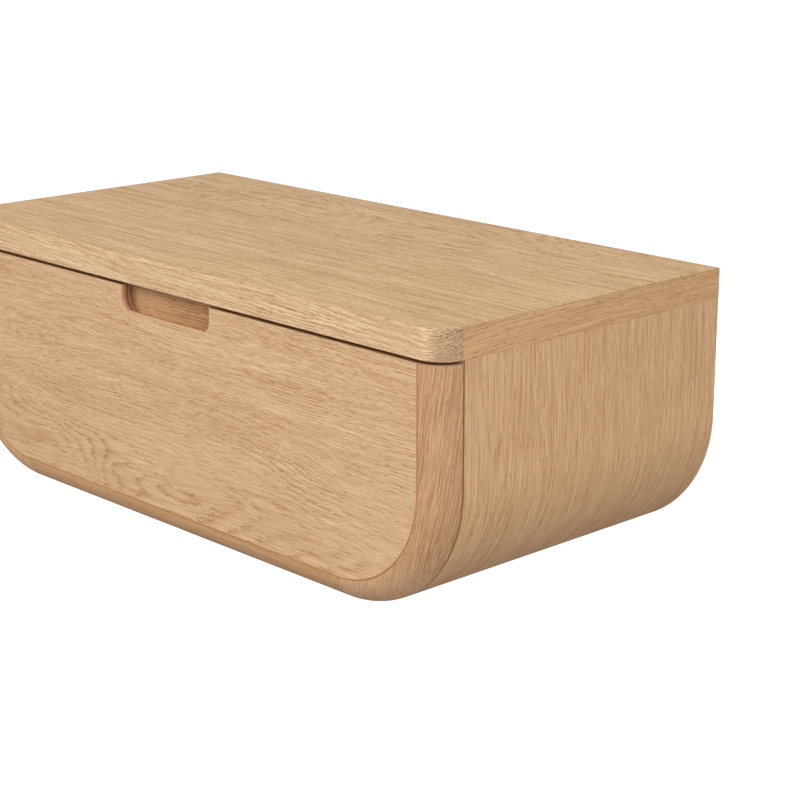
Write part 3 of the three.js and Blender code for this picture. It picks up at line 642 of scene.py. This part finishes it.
# Solid strips: redder, with close dark stripes that lean into the bend, and painted light that turns them
# paler towards the foot, where the lower corner catches more light
upright_oak_with_painted_light = oak("solid_oak_of_the_side_lippings_with_painted_light", "#d5ad85", "#a3764e", "#8a583c", GRAIN_ACROSS_TOP,
                  pith=(0, 0, 60), tilt=(0, 0, -6), ring=1.6, wander=(8, 0.8), coarse=0.55, length=1.2,
                  through=(1, 1), contrast=1.9, ring_share=0.2, tone=0.2, pore_share=0.9,
                  paler=(-45, -100, 0.7), along="grain")
# The sawn tops of the same strips: short arcs and dots
upright_end_oak = oak("oak_end_grain_of_the_side_lippings", "#d9ad86", "#a6774f", "#8c593d",
                      GRAIN_UPRIGHT, pith=(0, 360, 250), tilt=(0, -13, 0), ring=1.6)
# Solid strip: quiet, long grain that rolls under the front
bottom_oak = oak("solid_oak_of_the_bottom_lipping", "#d9b184", "#bc8f63", "#9e7148",
                 GRAIN_ACROSS_FRONT, pith=(0, 220, -250), tilt=(0, 2, 1), ring=2, wander=(6, 0.8),
                 length=2, ring_share=0.15)
# Veneer of the inner layer: a deeper brown, partly painted shade for the recess, with coarse threads, and
# painted light that turns it paler towards the notch's left, where shade falls
notch_oak_with_painted_light_and_shade = oak("oak_veneer_inside_the_notch_with_painted_light_and_shade", "#cd9f72", "#a7774c", "#8b5b35", GRAIN_ACROSS_FRONT,
                pith=(0, 30, -210), tilt=(0, 2, 1), ring=2.4, coarse=1.5, length=1, contrast=1.6,
                paler=(40, -50, 1.0))
# Oak with painted shade: a dark brown that stands for the shadow in narrow gaps, grooves and undercuts, and
# under the top
painted_shade_oak = oak("oak_with_painted_shade", "#a67c54", "#83593a", "#684327", GRAIN_ACROSS_FRONT,
               pith=(0, 40, -230), tilt=(0, 1, 1), ring=2.4)
# Oak sanded smooth where the router cut it, and sealed: redder and even, with no open grain
routed_oak = plain("routed_and_sealed_oak", "#c08e68", "#a97953", 0.5, 6, (1, 0.3, 1), 0.1, IOR=1.5)
# The line where the veneer meets its solid lipping, darkened by the lacquer that it drinks
glue_line = plain("glue_line_in_oak", "#c68b50", "#b67d46", 0.55, 30, IOR=1.5)
# Birch plywood: pale creamy faces, and edges striped light and brown by its crossed sheets
plywood = close_grained("birch_plywood", "#ead6b4", "#b98f60", "#a8834f", 0.5, plies=True, fleck_share=0.3)
# Solid beech: pinkish tan, covered with short brown flecks
beech = close_grained("planed_beech", "#e0bd96", "#c3946a", "#9b6840", 0.55)
# Bare chipboard edge, open and dull
core = chipboard("pressed_chips_of_the_top_core", "#dcbc8e", "#b58d5f", "#8a6640")
# Zinc plate over rolled steel: bright and cool, with faint streaks along the way it was rolled
ROLLED = (1, 0.03, 1)
zinc = plain("bright_zinc_plated_steel", "#cdd1d4", "#aeb4b9", 0.3, 1.2, ROLLED, 0.1, Metallic=1)
# Bare rolled steel: a little darker and duller than the plated members
cage_steel = plain("rolled_cage_steel", "#a8abad", "#8d9194", 0.4, 1.2, ROLLED, 0.1, Metallic=1)
# Hardened balls, ground and polished: near mirrors
ball_steel = plain("polished_ball_steel", "#d6d8da", "#c9ccce", 0.12, 3, Metallic=1)
# Moulded acetal: a soft black with the fine grain of the mould, drawn twice as coarse to show
lever_plastic = plain("moulded_black_acetal", "#1c1c1e", "#2a2a2d", 0.42, 0.5, bump=0.4, IOR=1.48)
# Cast polyurethane: clear, faintly warm and smooth
bumper_rubber = plain("clear_cast_polyurethane", "#f1efe8", "#e6e3d8", 0.14, 2, IOR=1.5,
                      Transmission_Weight=0.85)


def nodes_named(*starts):
    return [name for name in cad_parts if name.startswith(starts)]


def lay_finishes(piece, finishes, choose):
    """Gives a piece its finishes, and each face the number of its own, chosen by its place and normal."""
    for finish in finishes:
        piece.data.materials.append(finish)
    for face in piece.data.polygons:
        face.material_index = int(choose(face.center, face.normal))


def finish_piece(piece, body, slot, finish, *nodes):
    """Dresses a piece, hangs it on its body and hides the CAD nodes that it stands for.

    Normals weighted by area keep the flats flat up to their rounded edges.
    """
    modify(piece, "WEIGHTED_NORMAL", keep_sharp=True)
    if not piece.data.materials:
        piece.data.materials.append(finish)
    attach(piece, body)
    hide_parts(*nodes)
    return piece


# Top: one slab with rounded front corners and eased arrises, sawn into its layers and lippings
def make_top():
    slab = block("top_slab", (top_low.x, top_low.y, under_low.z), top_high)
    round_edges(slab, TOP_CORNER_RADIUS, BEND_STEPS // 2, lambda place: place.y < top_low.y + NEAR, axis=2)
    front_half = top_low.y + TOP_CORNER_RADIUS
    rear = top_high.y - NEAR
    round_edges(slab, TOP_ARRIS, 4, lambda place: place.z > top_high.z - NEAR and place.y < rear)
    round_edges(slab, TOP_UNDER_ARRIS, 2, lambda place: place.z < under_low.z + NEAR and place.y < rear)
    clean(slab)
    veneer = keep_between(copy_of(slab, "oak_top_veneer"), 2, top_low.z, top_high.z + OVERRUN)
    finish_piece(clean(veneer), "cabinet", "oak_veneer", top_oak, "top_veneer")

    # The underside's veneer gets painted shade, dark oak for the shadow in the gap under the top, but its
    # ends carry on the lippings above them
    veneer = keep_between(copy_of(slab, "oak_underside_veneer"), 2, under_low.z - OVERRUN, under_high.z)
    drill(veneer, nodes_named("top_dowel"), DOWEL_HOLE_RADIUS)
    lay_finishes(veneer, (painted_shade_oak, side_lipping_oak), lambda place, normal: abs(normal.x) > 0.5)
    finish_piece(clean(veneer), "cabinet", "oak_veneer", painted_shade_oak, "top_underside_veneer")

    middle = keep_between(slab, 2, under_high.z, top_low.z)
    front = keep_between(copy_of(middle, "oak_top_front_lipping"), 1, top_low.y - OVERRUN, front_half)
    finish_piece(clean(front), "cabinet", "oak_solid", front_lipping_oak, "top_front_lipping")
    for side, sign in LEFT_AND_RIGHT.items():
        node = f"top_{side}_lipping"
        low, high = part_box(node)
        lipping = copy_of(middle, f"oak_top_{side}_lipping")
        keep_between(lipping, 1, front_half, top_high.y + OVERRUN)
        inner = low.x if sign > 0 else high.x
        keep_between(lipping, 0, min(inner, sign), max(inner, sign))
        finish_piece(clean(lipping), "cabinet", "oak_solid", side_lipping_oak, node)
    bpy.data.objects.remove(middle)


def ply_depth(share, plies):
    """Depth by the plies, kept just inside the two faces so that each face lies in its outer ply."""
    return (0.005 + 0.99 * share) * plies * PLY


def lay_sheets(piece, along, through, plies):
    """Stores where each point lies in a flat board: along its face grain, across it and deep in it.

    Each board's grain is shifted by its own place, so that no two look the same.
    """
    across = 3 - along - through
    points = piece.data.vertices
    near = min(point.co[through] for point in points)
    far = max(point.co[through] for point in points)
    field = piece.data.attributes.new("grain", "FLOAT_VECTOR", "POINT")
    for point, stored in zip(points, field.data):
        share = (point.co[through] - near) / (far - near)
        stored.vector = (point.co[along] + 5 * near, point.co[across], ply_depth(share, plies))
    return piece


# Shell: bent ply, with a grain field that follows the bend
def lay_grain(piece, half, radius, low):
    """Stores how far along the bent sheet, how far back and how deep in it each point lies."""
    field = piece.data.attributes.new("grain", "FLOAT_VECTOR", "POINT")
    bend_x = half - radius
    bend_z = low + radius
    quarter = (radius - SHELL_THICKNESS / 2) * math.pi / 2
    for point, stored in zip(piece.data.vertices, field.data):
        side = -1 if point.co.x < 0 else 1
        across = abs(point.co.x) - bend_x
        down = bend_z - point.co.z
        if across <= 0:
            along, depth = abs(point.co.x), radius - down
        elif down <= 0:
            along, depth = bend_x + quarter - down, radius - across
        else:
            share = math.atan2(across, down) / (math.pi / 2)
            along, depth = bend_x + quarter * share, radius - math.hypot(across, down)
        stored.vector = (side * along, point.co.y, ply_depth(depth / SHELL_THICKNESS, SHELL_PLIES) + PLY)


def make_shell():
    shell = bent_strip("oak_bent_shell", shell_high.x, SHELL_THICKNESS, SHELL_RADIUS,
                       shell_low.z, shell_high.z, shell_low.y, shell_high.y)
    groove = bent_strip("groove", shell_high.x - SHELL_THICKNESS + GROOVE_DEPTH, 2 * GROOVE_DEPTH,
                        SHELL_RADIUS - SHELL_THICKNESS + GROOVE_DEPTH,
                        shell_low.z + SHELL_THICKNESS - GROOVE_DEPTH, shell_high.z + OVERRUN,
                        back_low.y - JOINT_GAP, back_high.y + JOINT_GAP)
    cut_away(shell, [groove])
    clean(shell)
    drill(shell, nodes_named("top_dowel", "rail_dowel"), DOWEL_HOLE_RADIUS)
    drill(shell, nodes_named("cabinet_slide_screw"), SCREW_HOLE_RADIUS)
    ends = (shell_low.y, shell_high.y)
    round_edges(shell, SHELL_ARRIS, 2, lambda place: min(abs(place.y - y) for y in ends) < NEAR
                and place.z < shell_high.z - NEAR)
    clean(shell)
    lay_grain(shell, shell_high.x, SHELL_RADIUS, shell_low.z)

    # The sawn edges show the plies, and the front arris has painted shade: dark oak for the shadow in the
    # joint behind the lippings
    def choose(place, normal):
        outside, plies, painted_shade_arris = range(3)
        if abs(normal.y) > 0.95:
            return plies
        return painted_shade_arris if normal.y < -0.15 and place.y < shell_low.y + SHELL_ARRIS else outside

    lay_finishes(shell, (shell_oak, plywood, painted_shade_oak), choose)
    finish_piece(shell, "cabinet", "oak_veneer", shell_oak, "bent_shell")


# Drawer front: a veneered panel with solid lippings, rounded over its whole thickness
def notch_tool(name, reach, front, back):
    """A U-shaped plug for the finger notch, wider by a reach on its three sides."""
    low = skin_high.z - NOTCH_HEIGHT - reach
    return u_plate(name, NOTCH_WIDTH / 2 + reach, low, skin_high.z + OVERRUN, NOTCH_RADIUS + reach,
                   front, back)


def make_front_panel():
    half = skin_high.x
    panel = u_plate("oak_front_panel", half, skin_low.z, skin_high.z, PANEL_RADIUS, skin_low.y, skin_high.y)
    face_oak, glue, routed, edge = range(4)
    for finish in (front_oak, glue_line, routed_oak, painted_shade_oak):
        panel.data.materials.append(finish)

    # The glue line runs round the face, but not along its top edge
    edit(panel)
    pick_faces(panel, lambda place, normal: normal.y < -SQUARE)
    bpy.ops.mesh.inset(thickness=GLUE_LINE)
    leave_edit()
    face = min(panel.data.polygons, key=lambda each: (round(each.center.y, 5), -each.area))
    for each in panel.data.polygons:
        rim = each.normal.y < -SQUARE and each != face and each.center.z < skin_high.z - GLUE_LINE
        each.material_index = glue if rim else face_oak

    # The notch goes right through. Behind its rounded rim it widens, most of all at a groove.
    groove_front = skin_low.y + NOTCH_RIM
    groove_back = groove_front + NOTCH_GROOVE
    cut_away(panel, [notch_tool("notch", 0, skin_low.y - OVERRUN, skin_high.y + OVERRUN)])
    floor = skin_high.z - NOTCH_HEIGHT - NEAR
    round_edges(panel, NOTCH_ARRIS, 8, lambda place: place.y < skin_low.y + NEAR
                and abs(place.x) < NOTCH_WIDTH / 2 + NEAR
                and floor < place.z < skin_high.z - GLUE_LINE - NEAR)
    cut_away(panel, [notch_tool("pocket", UNDERCUT_REACH, groove_front, skin_high.y + OVERRUN)])
    cut_away(panel, [notch_tool("groove", NOTCH_GROOVE_REACH, groove_front, groove_back)])
    clean(panel)
    notch_half = NOTCH_WIDTH / 2 + NOTCH_GROOVE_REACH + NEAR
    # Painted shade: the top edge and the groove's walls get dark oak for the shadow under the top and in
    # the groove
    for each in panel.data.polygons:
        place, normal = each.center, each.normal
        in_notch = abs(place.x) < notch_half and place.z > floor - NOTCH_GROOVE_REACH
        if normal.z > SQUARE and place.z > skin_high.z - NEAR:
            each.material_index = edge
        elif in_notch and normal.y > -0.99:
            in_groove = groove_front - NEAR < place.y < groove_back - NEAR
            rim_floor = place.y < groove_front - NEAR and normal.z > 0.5 and abs(normal.x) < 0.25
            each.material_index = edge if in_groove else (face_oak if rim_floor else routed)
    finish_piece(panel, "drawer", "oak_veneer", front_oak, "drawer_front_panel")

    backing = u_plate("oak_front_backing", half, backing_low.z, backing_high.z, PANEL_RADIUS,
                      backing_low.y, backing_high.y)
    undercut = backing_low.y + UNDERCUT_DEPTH
    cut_away(backing, [notch_tool("undercut", UNDERCUT_REACH, backing_low.y - OVERRUN, undercut)])
    drill(backing, nodes_named("front_screw"), SCREW_HOLE_RADIUS)

    # Painted shade: the backing's top edge and the undercut's walls get dark oak for the shadow under the
    # top and behind the rim
    def in_painted_shade(place, normal):
        on_top = normal.z > SQUARE and place.z > backing_high.z - NEAR
        in_undercut = place.y < undercut - NEAR and abs(normal.y) < SQUARE
        return on_top or (in_undercut and abs(place.x) < NOTCH_WIDTH / 2 + OVERRUN)

    lay_finishes(backing, (notch_oak_with_painted_light_and_shade, painted_shade_oak), in_painted_shade)
    finish_piece(clean(backing), "drawer", "plywood", notch_oak_with_painted_light_and_shade, "drawer_front_backing")


def roll_out_grain(piece):
    """Stores how high and how far across each point lies once the rounding is rolled out flat.

    The grain leans more and more towards the foot, as it does in the photograph.
    """
    field = piece.data.attributes.new("grain", "FLOAT_VECTOR", "POINT")
    bend_x = shell_high.x - SHELL_RADIUS
    bend_z = shell_low.z + SHELL_RADIUS
    for point, stored in zip(piece.data.vertices, field.data):
        side = -1 if point.co.x < 0 else 1
        out = Vector((max(abs(point.co.x) - bend_x, 0), min(point.co.z - bend_z, 0))).normalized()
        depth = min((point.co.y - lipping_low.y) / QUARTER_ROUND, 1)
        turned = math.acos(1 - depth)
        extra = QUARTER_ROUND * (turned - math.sin(turned))
        up = point.co.z + extra * out.y
        lean = GRAIN_BOW * ((lipping_high.z - up) / (lipping_high.z - lipping_low.z)) ** 3
        stored.vector = (up, point.co.x + side * extra * out.x + lean, 0)


def make_front_lippings():
    slab = u_plate("front_slab", shell_high.x, shell_low.z, lipping_high.z, SHELL_RADIUS,
                   lipping_low.y, lipping_high.y)
    round_edges(slab, QUARTER_ROUND, 14, lambda place: place.y < lipping_low.y + NEAR
                and place.z < lipping_high.z - NEAR)
    inside = u_plate("inside", skin_high.x + JOINT_GAP, skin_low.z - JOINT_GAP, skin_high.z + OVERRUN,
                     PANEL_RADIUS + JOINT_GAP, lipping_low.y - OVERRUN, lipping_high.y + OVERRUN)
    cut_away(slab, [inside])
    for side, sign in LEFT_AND_RIGHT.items():
        lipping = copy_of(slab, f"oak_front_{side}_lipping")
        cut = sign * lipping_low.x
        keep_between(lipping, 0, min(cut, sign), max(cut, sign))
        clean(lipping)
        roll_out_grain(lipping)
        lay_finishes(lipping, (upright_oak_with_painted_light, upright_end_oak),
                     lambda place, normal: normal.z > SQUARE and place.z > lipping_high.z - NEAR)
        finish_piece(lipping, "drawer", "oak_solid", upright_oak_with_painted_light, f"drawer_front_{side}_lipping")
    keep_between(slab, 0, bottom_lipping_low.x, bottom_lipping_high.x)
    slab.name = "oak_front_bottom_lipping"
    finish_piece(clean(slab), "drawer", "oak_solid", bottom_oak, "drawer_front_bottom_lipping")


# Back: a panel in the shell's groove, and two beech rails that hook together at 45 degrees
def make_back():
    panel = u_plate("birch_back_panel", back_high.x, back_low.z, back_high.z,
                    SHELL_RADIUS - SHELL_THICKNESS + GROOVE_DEPTH - JOINT_GAP, back_low.y, back_high.y)
    lay_sheets(clean(panel), 0, 1, PANEL_PLIES)
    finish_piece(panel, "cabinet", "plywood", plywood, "back_panel")

    # Only their long edges, whose middle is at x = 0, are eased
    for node, side in (("hanging_rail", -1), ("wall_cleat", 1)):
        low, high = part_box(node)
        rail = block(f"beech_{node}", low, high)
        thickness = high.y - low.y
        if side < 0:
            saw(rail, (0, low.y, low.z + thickness), (0, -1, -1))
            round_edges(rail, RAIL_ARRIS, 3, lambda place: abs(place.x) < NEAR)
            drill(rail, nodes_named("rail_dowel"), DOWEL_HOLE_RADIUS)
        else:
            saw(rail, (0, high.y, high.z - thickness), (0, 1, 1))
            round_edges(rail, RAIL_ARRIS, 3, lambda place: abs(place.x) < NEAR)
            middle = (low.z + high.z - thickness) / 2
            bits = []
            sinks = []
            for share in WALL_HOLE_SHARES:
                start = Vector((share * high.x, low.y - OVERRUN, middle))
                through = start + Vector((0, thickness + 2 * OVERRUN, 0))
                point = start + Vector((0, WALL_SINK_RADIUS + OVERRUN, 0))
                bits.append(rod("bit", start, through, WALL_HOLE_RADIUS))
                sinks.append(rod("sink", start, point, WALL_SINK_RADIUS + OVERRUN, 0))
            cut_away(rail, [joined(bits, "bits"), joined(sinks, "sinks")])
        finish_piece(clean(rail), "cabinet", "beech", beech, node)


# Drawer box: birch plywood boards with rounded top edges, grooved for the bottom
def make_drawer_box():
    bottom_low, bottom_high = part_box("drawer_bottom")
    bottom = block("birch_drawer_bottom", bottom_low, bottom_high)
    lay_sheets(clean(bottom), 0, 2, PANEL_PLIES)
    finish_piece(bottom, "drawer", "plywood", plywood, "drawer_bottom")
    for node, along in (("drawer_side_left", 1), ("drawer_side_right", 1),
                        ("drawer_box_front", 0), ("drawer_box_back", 0)):
        low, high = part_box(node)
        board = block(f"birch_{node}", low, high)
        round_edges(board, BOARD_TOP_ROUND, 5, lambda place: place.z > high.z - NEAR, axis=along)
        if along:
            round_edges(board, BOARD_ARRIS, 2, lambda place: place.y > high.y - NEAR)
        if node != "drawer_box_back":
            cut_away(board, [block("groove", bottom_low - Vector([JOINT_GAP] * 3),
                                   bottom_high + Vector((JOINT_GAP, OVERRUN, JOINT_GAP)))])
        if along:
            drill(board, nodes_named(node.replace("side", "slide_screw")), SCREW_HOLE_RADIUS)
        if node == "drawer_box_front":
            drill(board, nodes_named("front_screw"), SCREW_HOLE_RADIUS)
        lay_sheets(clean(board), along, 1 - along, BOARD_PLIES)
        finish_piece(board, "drawer", "plywood", plywood, node)


# Ball-bearing slides. Slots are given in millimetres: place along the member, length, height.
MEMBER_SLOTS = {
    "outer": ((12, 4.2, 4.2), (62, 10, 4.6), (92, 4.6, 4.6), (125, 10, 4.6), (158, 4.6, 4.6),
              (188, 10, 4.6), (238, 4.2, 4.2)),
    "middle": ((24, 5, 5), (70, 34, 9), (125, 34, 9), (180, 34, 9), (226, 5, 5)),
    "inner": ((12, 4.2, 4.2), (62, 10, 4.6), (88, 4.6, 4.6), (194, 10, 4.6), (238, 4.2, 4.2)),
}
CAGE_SLOTS = ((16, 8, 3.4), (57.5, 18, 3.4), (99, 8, 3.4))
# How far each row of balls runs from the shell's inside, and from the slide's middle
BALL_ROWS = {"outer": (5.3625 * MM, 19.15 * MM), "inner": (9.35 * MM, 15.025 * MM)}


def make_slides():
    for side in LEFT_AND_RIGHT:
        bodies = {"outer": "cabinet", "middle": f"slide_middle_{side}", "inner": "drawer"}
        for kind, body in bodies.items():
            node = f"slide_{kind}_{side}"
            member = punch(merged_copy(node, f"zinc_{node}"), MEMBER_SLOTS[kind])
            ease(member, SHEET_ARRIS)
            finish_piece(clean(member, 40), body, "zinc_steel", zinc, node)


def make_cages():
    for side, sign in LEFT_AND_RIGHT.items():
        for kind, (across, rise) in BALL_ROWS.items():
            node = f"ball_cage_{kind}_{side}"
            low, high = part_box(node)
            web = high.x if sign > 0 else low.x
            row_x = sign * (slide_high.x - across)
            outer = rise + CAGE_SHEET / 2
            inner = rise - CAGE_SHEET / 2
            cage = block(f"steel_{node}", (row_x - sign * CAGE_LIP, low.y, slide_middle - outer),
                         (web, high.y, slide_middle + outer))
            inside = block("inside", (row_x - sign * OVERRUN, low.y - OVERRUN, slide_middle - inner),
                           (web - sign * CAGE_SHEET, high.y + OVERRUN, slide_middle + inner))
            cut_away(cage, [inside])
            round_edges(cage, CAGE_SHEET, 4, lambda place: abs(place.x - web) < NEAR, axis=1)
            punch(cage, CAGE_SLOTS)
            clean(cage)
            cage.data.materials.append(cage_steel)

            pitch = (high.y - low.y) / BALLS_PER_ROW
            bpy.ops.object.select_all(action="DESELECT")
            bpy.ops.mesh.primitive_uv_sphere_add(segments=16, ring_count=10, radius=BALL_RADIUS)
            ball = set_down("ball")
            clean(ball)
            ball.data.materials.append(ball_steel)
            places = [(row_x, low.y + (i + 0.5) * pitch, slide_middle + up * rise)
                      for i in range(BALLS_PER_ROW) for up in (-1, 1)]
            balls = [stand(ball, f"ball_{i}", place, (0, 0, 1)) for i, place in enumerate(places)]
            bpy.data.objects.remove(ball)
            finish_piece(joined([cage, *balls], cage.name), node, "cage_steel", cage_steel, node)


# Screws: upright at the origin with the head's top at zero, then copied to their places
def make_screw(name, head, neck, head_height, shank, length):
    """A screw whose head goes from one radius to another over its height."""
    screw = rod(name, (0, 0, 0), (0, 0, head_height), head, neck, sides=40)
    if head == neck:
        round_edges(screw, PAN_ROUND, 5, lambda place: place.z < NEAR)
    tip = length - SCREW_TIP
    shaft = rod("shaft", (0, 0, head_height - SHANK_IN_HEAD), (0, 0, tip), shank, sides=20)
    point = rod("point", (0, 0, tip - NEAR), (0, 0, length), shank * 0.98, SCREW_POINT_RADIUS, sides=20)
    cut_away(screw, [shaft, point], "UNION")
    for x, y in ((RECESS_REACH, RECESS_HALF_WIDTH), (RECESS_HALF_WIDTH, RECESS_REACH)):
        cut_away(screw, [block("recess", (-x, -y, -OVERRUN), (x, y, RECESS_DEPTH))])
    return clean(screw)


def make_screws():
    # Each kind's name, body and axis, and its head, neck, head height, shank and length in millimetres
    kinds = (
        ("cabinet_slide_screw", "cabinet", 0, (3.3, 1.7, 1.6, 1.7, 16.2)),
        ("drawer_slide_screw", "drawer", 0, (3.5, 3.5, 2.2, 1.8, 12.4)),
        ("front_screw", "drawer", 1, (3.5, 3.5, 2.2, 1.8, 24.2)),
    )
    for kind, body, axis, sizes in kinds:
        model = make_screw("screw", *(size * MM for size in sizes))
        for node in nodes_named(kind):
            low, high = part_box(node)
            place = (low + high) / 2
            away = -1 if axis == 1 else (1 if place.x > 0 else -1) * (1 if body == "cabinet" else -1)
            place[axis] = low[axis] if away > 0 else high[axis]
            towards = [0, 0, 0]
            towards[axis] = away
            screw = stand(model, f"zinc_{node}", place, towards)
            finish_piece(screw, body, "zinc_steel", zinc, node)
        bpy.data.objects.remove(model)


def make_levers_and_bumpers():
    end = Vector((0, 0, PIN_LENGTH))
    pin = rod("pin", (0, 0, 0), end, PIN_RADIUS)
    head = rod("head", (0, 0, PIN_LENGTH - PIN_HEAD_HEIGHT), end, PIN_HEAD_RADIUS)
    round_edges(head, PIN_ROUND, 3, lambda place: place.z > PIN_LENGTH - NEAR)
    cut_away(pin, [head], "UNION")
    clean(pin)
    for side, sign in LEFT_AND_RIGHT.items():
        node = f"release_lever_{side}"
        lever = ease(merged_copy(node, f"moulded_{node}"), MOULDED_ARRIS)
        finish_piece(clean(lever), node, "lever_plastic", lever_plastic, node)
        low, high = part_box(f"lever_pin_{side}")
        place = (low + high) / 2
        place.x = low.x if sign > 0 else high.x
        own_pin = stand(pin, f"zinc_lever_pin_{side}", place, (sign, 0, 0))
        finish_piece(own_pin, "drawer", "zinc_steel", zinc, f"lever_pin_{side}")
        low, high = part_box(f"bumper_{side}")
        middle = (low + high) / 2
        bumper = rod(f"clear_bumper_{side}", (middle.x, low.y, middle.z), (middle.x, high.y, middle.z),
                     (high.x - low.x) / 2, sides=48)
        round_edges(bumper, BUMPER_ROUND, 5, lambda spot: spot.y > high.y - NEAR)
        finish_piece(clean(bumper), "drawer", "bumper_rubber", bumper_rubber, f"bumper_{side}")
    bpy.data.objects.remove(pin)


make_top()
make_shell()
make_front_panel()
make_front_lippings()
make_back()
make_drawer_box()
make_slides()
make_cages()
make_screws()
make_levers_and_bumpers()

# The top's core and the dowels are the CAD nodes themselves
for name in nodes_named("top_core", "top_dowel", "rail_dowel"):
    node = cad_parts[name]
    node.data.materials.clear()
    node.data.materials.append(core if name == "top_core" else beech)

# Stage: a pale floor well below the nightstand, soft lamps and a camera at the photograph's angle
FLOOR_DROP = 0.42
FLOOR_SIZE = 60
FLOOR_GLOW = 0.9
WORLD_LIGHT = 0.47
bpy.ops.object.select_all(action="DESELECT")
bpy.ops.mesh.primitive_plane_add(size=FLOOR_SIZE, location=(0, 0, shell_low.z - FLOOR_DROP))
floor = set_down("floor")
# Matt paint on a studio floor, which looks white to the camera alone and throws little light back
floor_finish, floor_tree = new_finish("pale_floor")
seen = add(floor_tree, "ShaderNodeLightPath")["Is Camera Ray"]
glow = add(floor_tree, "ShaderNodeMath", {0: seen, 1: FLOOR_GLOW}, operation="MULTIPLY")[0]
paint = add(floor_tree, "ShaderNodeBsdfPrincipled", {
    "Base Color": colour("#a49d9d"), "Roughness": 0.9,
    "Emission Color": (1, 1, 1, 1), "Emission Strength": glow,
})["BSDF"]
add(floor_tree, "ShaderNodeOutputMaterial", {"Surface": paint})
floor.data.materials.append(floor_finish)

# The world is white to the camera, in gloss and through glass, and a soft light to all else
world = bpy.data.worlds.new("studio")
bpy.context.scene.world = world
world.use_nodes = True
sky = world.node_tree
sky.nodes.clear()
ray = add(sky, "ShaderNodeLightPath")
direct = ray["Is Camera Ray"]
for kind in ("Is Glossy Ray", "Is Transmission Ray"):
    direct = add(sky, "ShaderNodeMath", {0: direct, 1: ray[kind]}, operation="MAXIMUM")[0]
strength = add(sky, "ShaderNodeMapRange", {"Value": direct, "To Min": WORLD_LIGHT, "To Max": 1.0})[0]
background = add(sky, "ShaderNodeBackground", {"Color": (1, 1, 1, 1), "Strength": strength})
add(sky, "ShaderNodeOutputWorld", {"Surface": background[0]})

# Soft square lamps: place, what each points at, width in metres and watts
LAMPS = {
    "front_softbox": ((-0.85, -2.6, 1.9), (0, -0.15, 0), 1.8, 51),
    "corner_softbox": ((1.9, -1.25, 1.0), (0.1, -0.15, 0), 1.4, 25),
    "side_softbox": ((2.4, -0.1, 0.9), (0.1, -0.15, 0), 1.6, 6),
    "left_softbox": ((-2.2, 0.3, -0.15), (-0.3, -0.15, 0), 0.7, 12),
    "wall_softbox": ((-0.6, 2.6, -0.5), (0, 0, -0.1), 1.2, 22),
}
for name, (place, aim, width, watts) in LAMPS.items():
    light = bpy.data.lights.new(name, "AREA")
    light.size = width
    light.energy = watts
    lamp = bpy.data.objects.new(name, light)
    lamp.location = place
    lamp.rotation_euler = (Vector(aim) - Vector(place)).to_track_quat("-Z", "Y").to_euler()
    bpy.context.scene.collection.objects.link(lamp)

# The camera is the one that was fitted to the photograph's edges: place, tilt, turn and lens
CAMERA_PLACE = (1.34171, -1.32186, 0.45251)
CAMERA_DOWN = 0.2744
CAMERA_TURN = 0.8121
CAMERA_LENS = 93.11
camera_data = bpy.data.cameras.new("camera")
camera_data.lens = CAMERA_LENS
camera_data.sensor_width = 36
camera = bpy.data.objects.new("camera", camera_data)
camera.location = CAMERA_PLACE
camera.rotation_euler = (math.pi / 2 - CAMERA_DOWN, 0, CAMERA_TURN)
bpy.context.scene.collection.objects.link(camera)
bpy.context.scene.camera = camera
bpy.context.scene.view_settings.view_transform = "Standard"
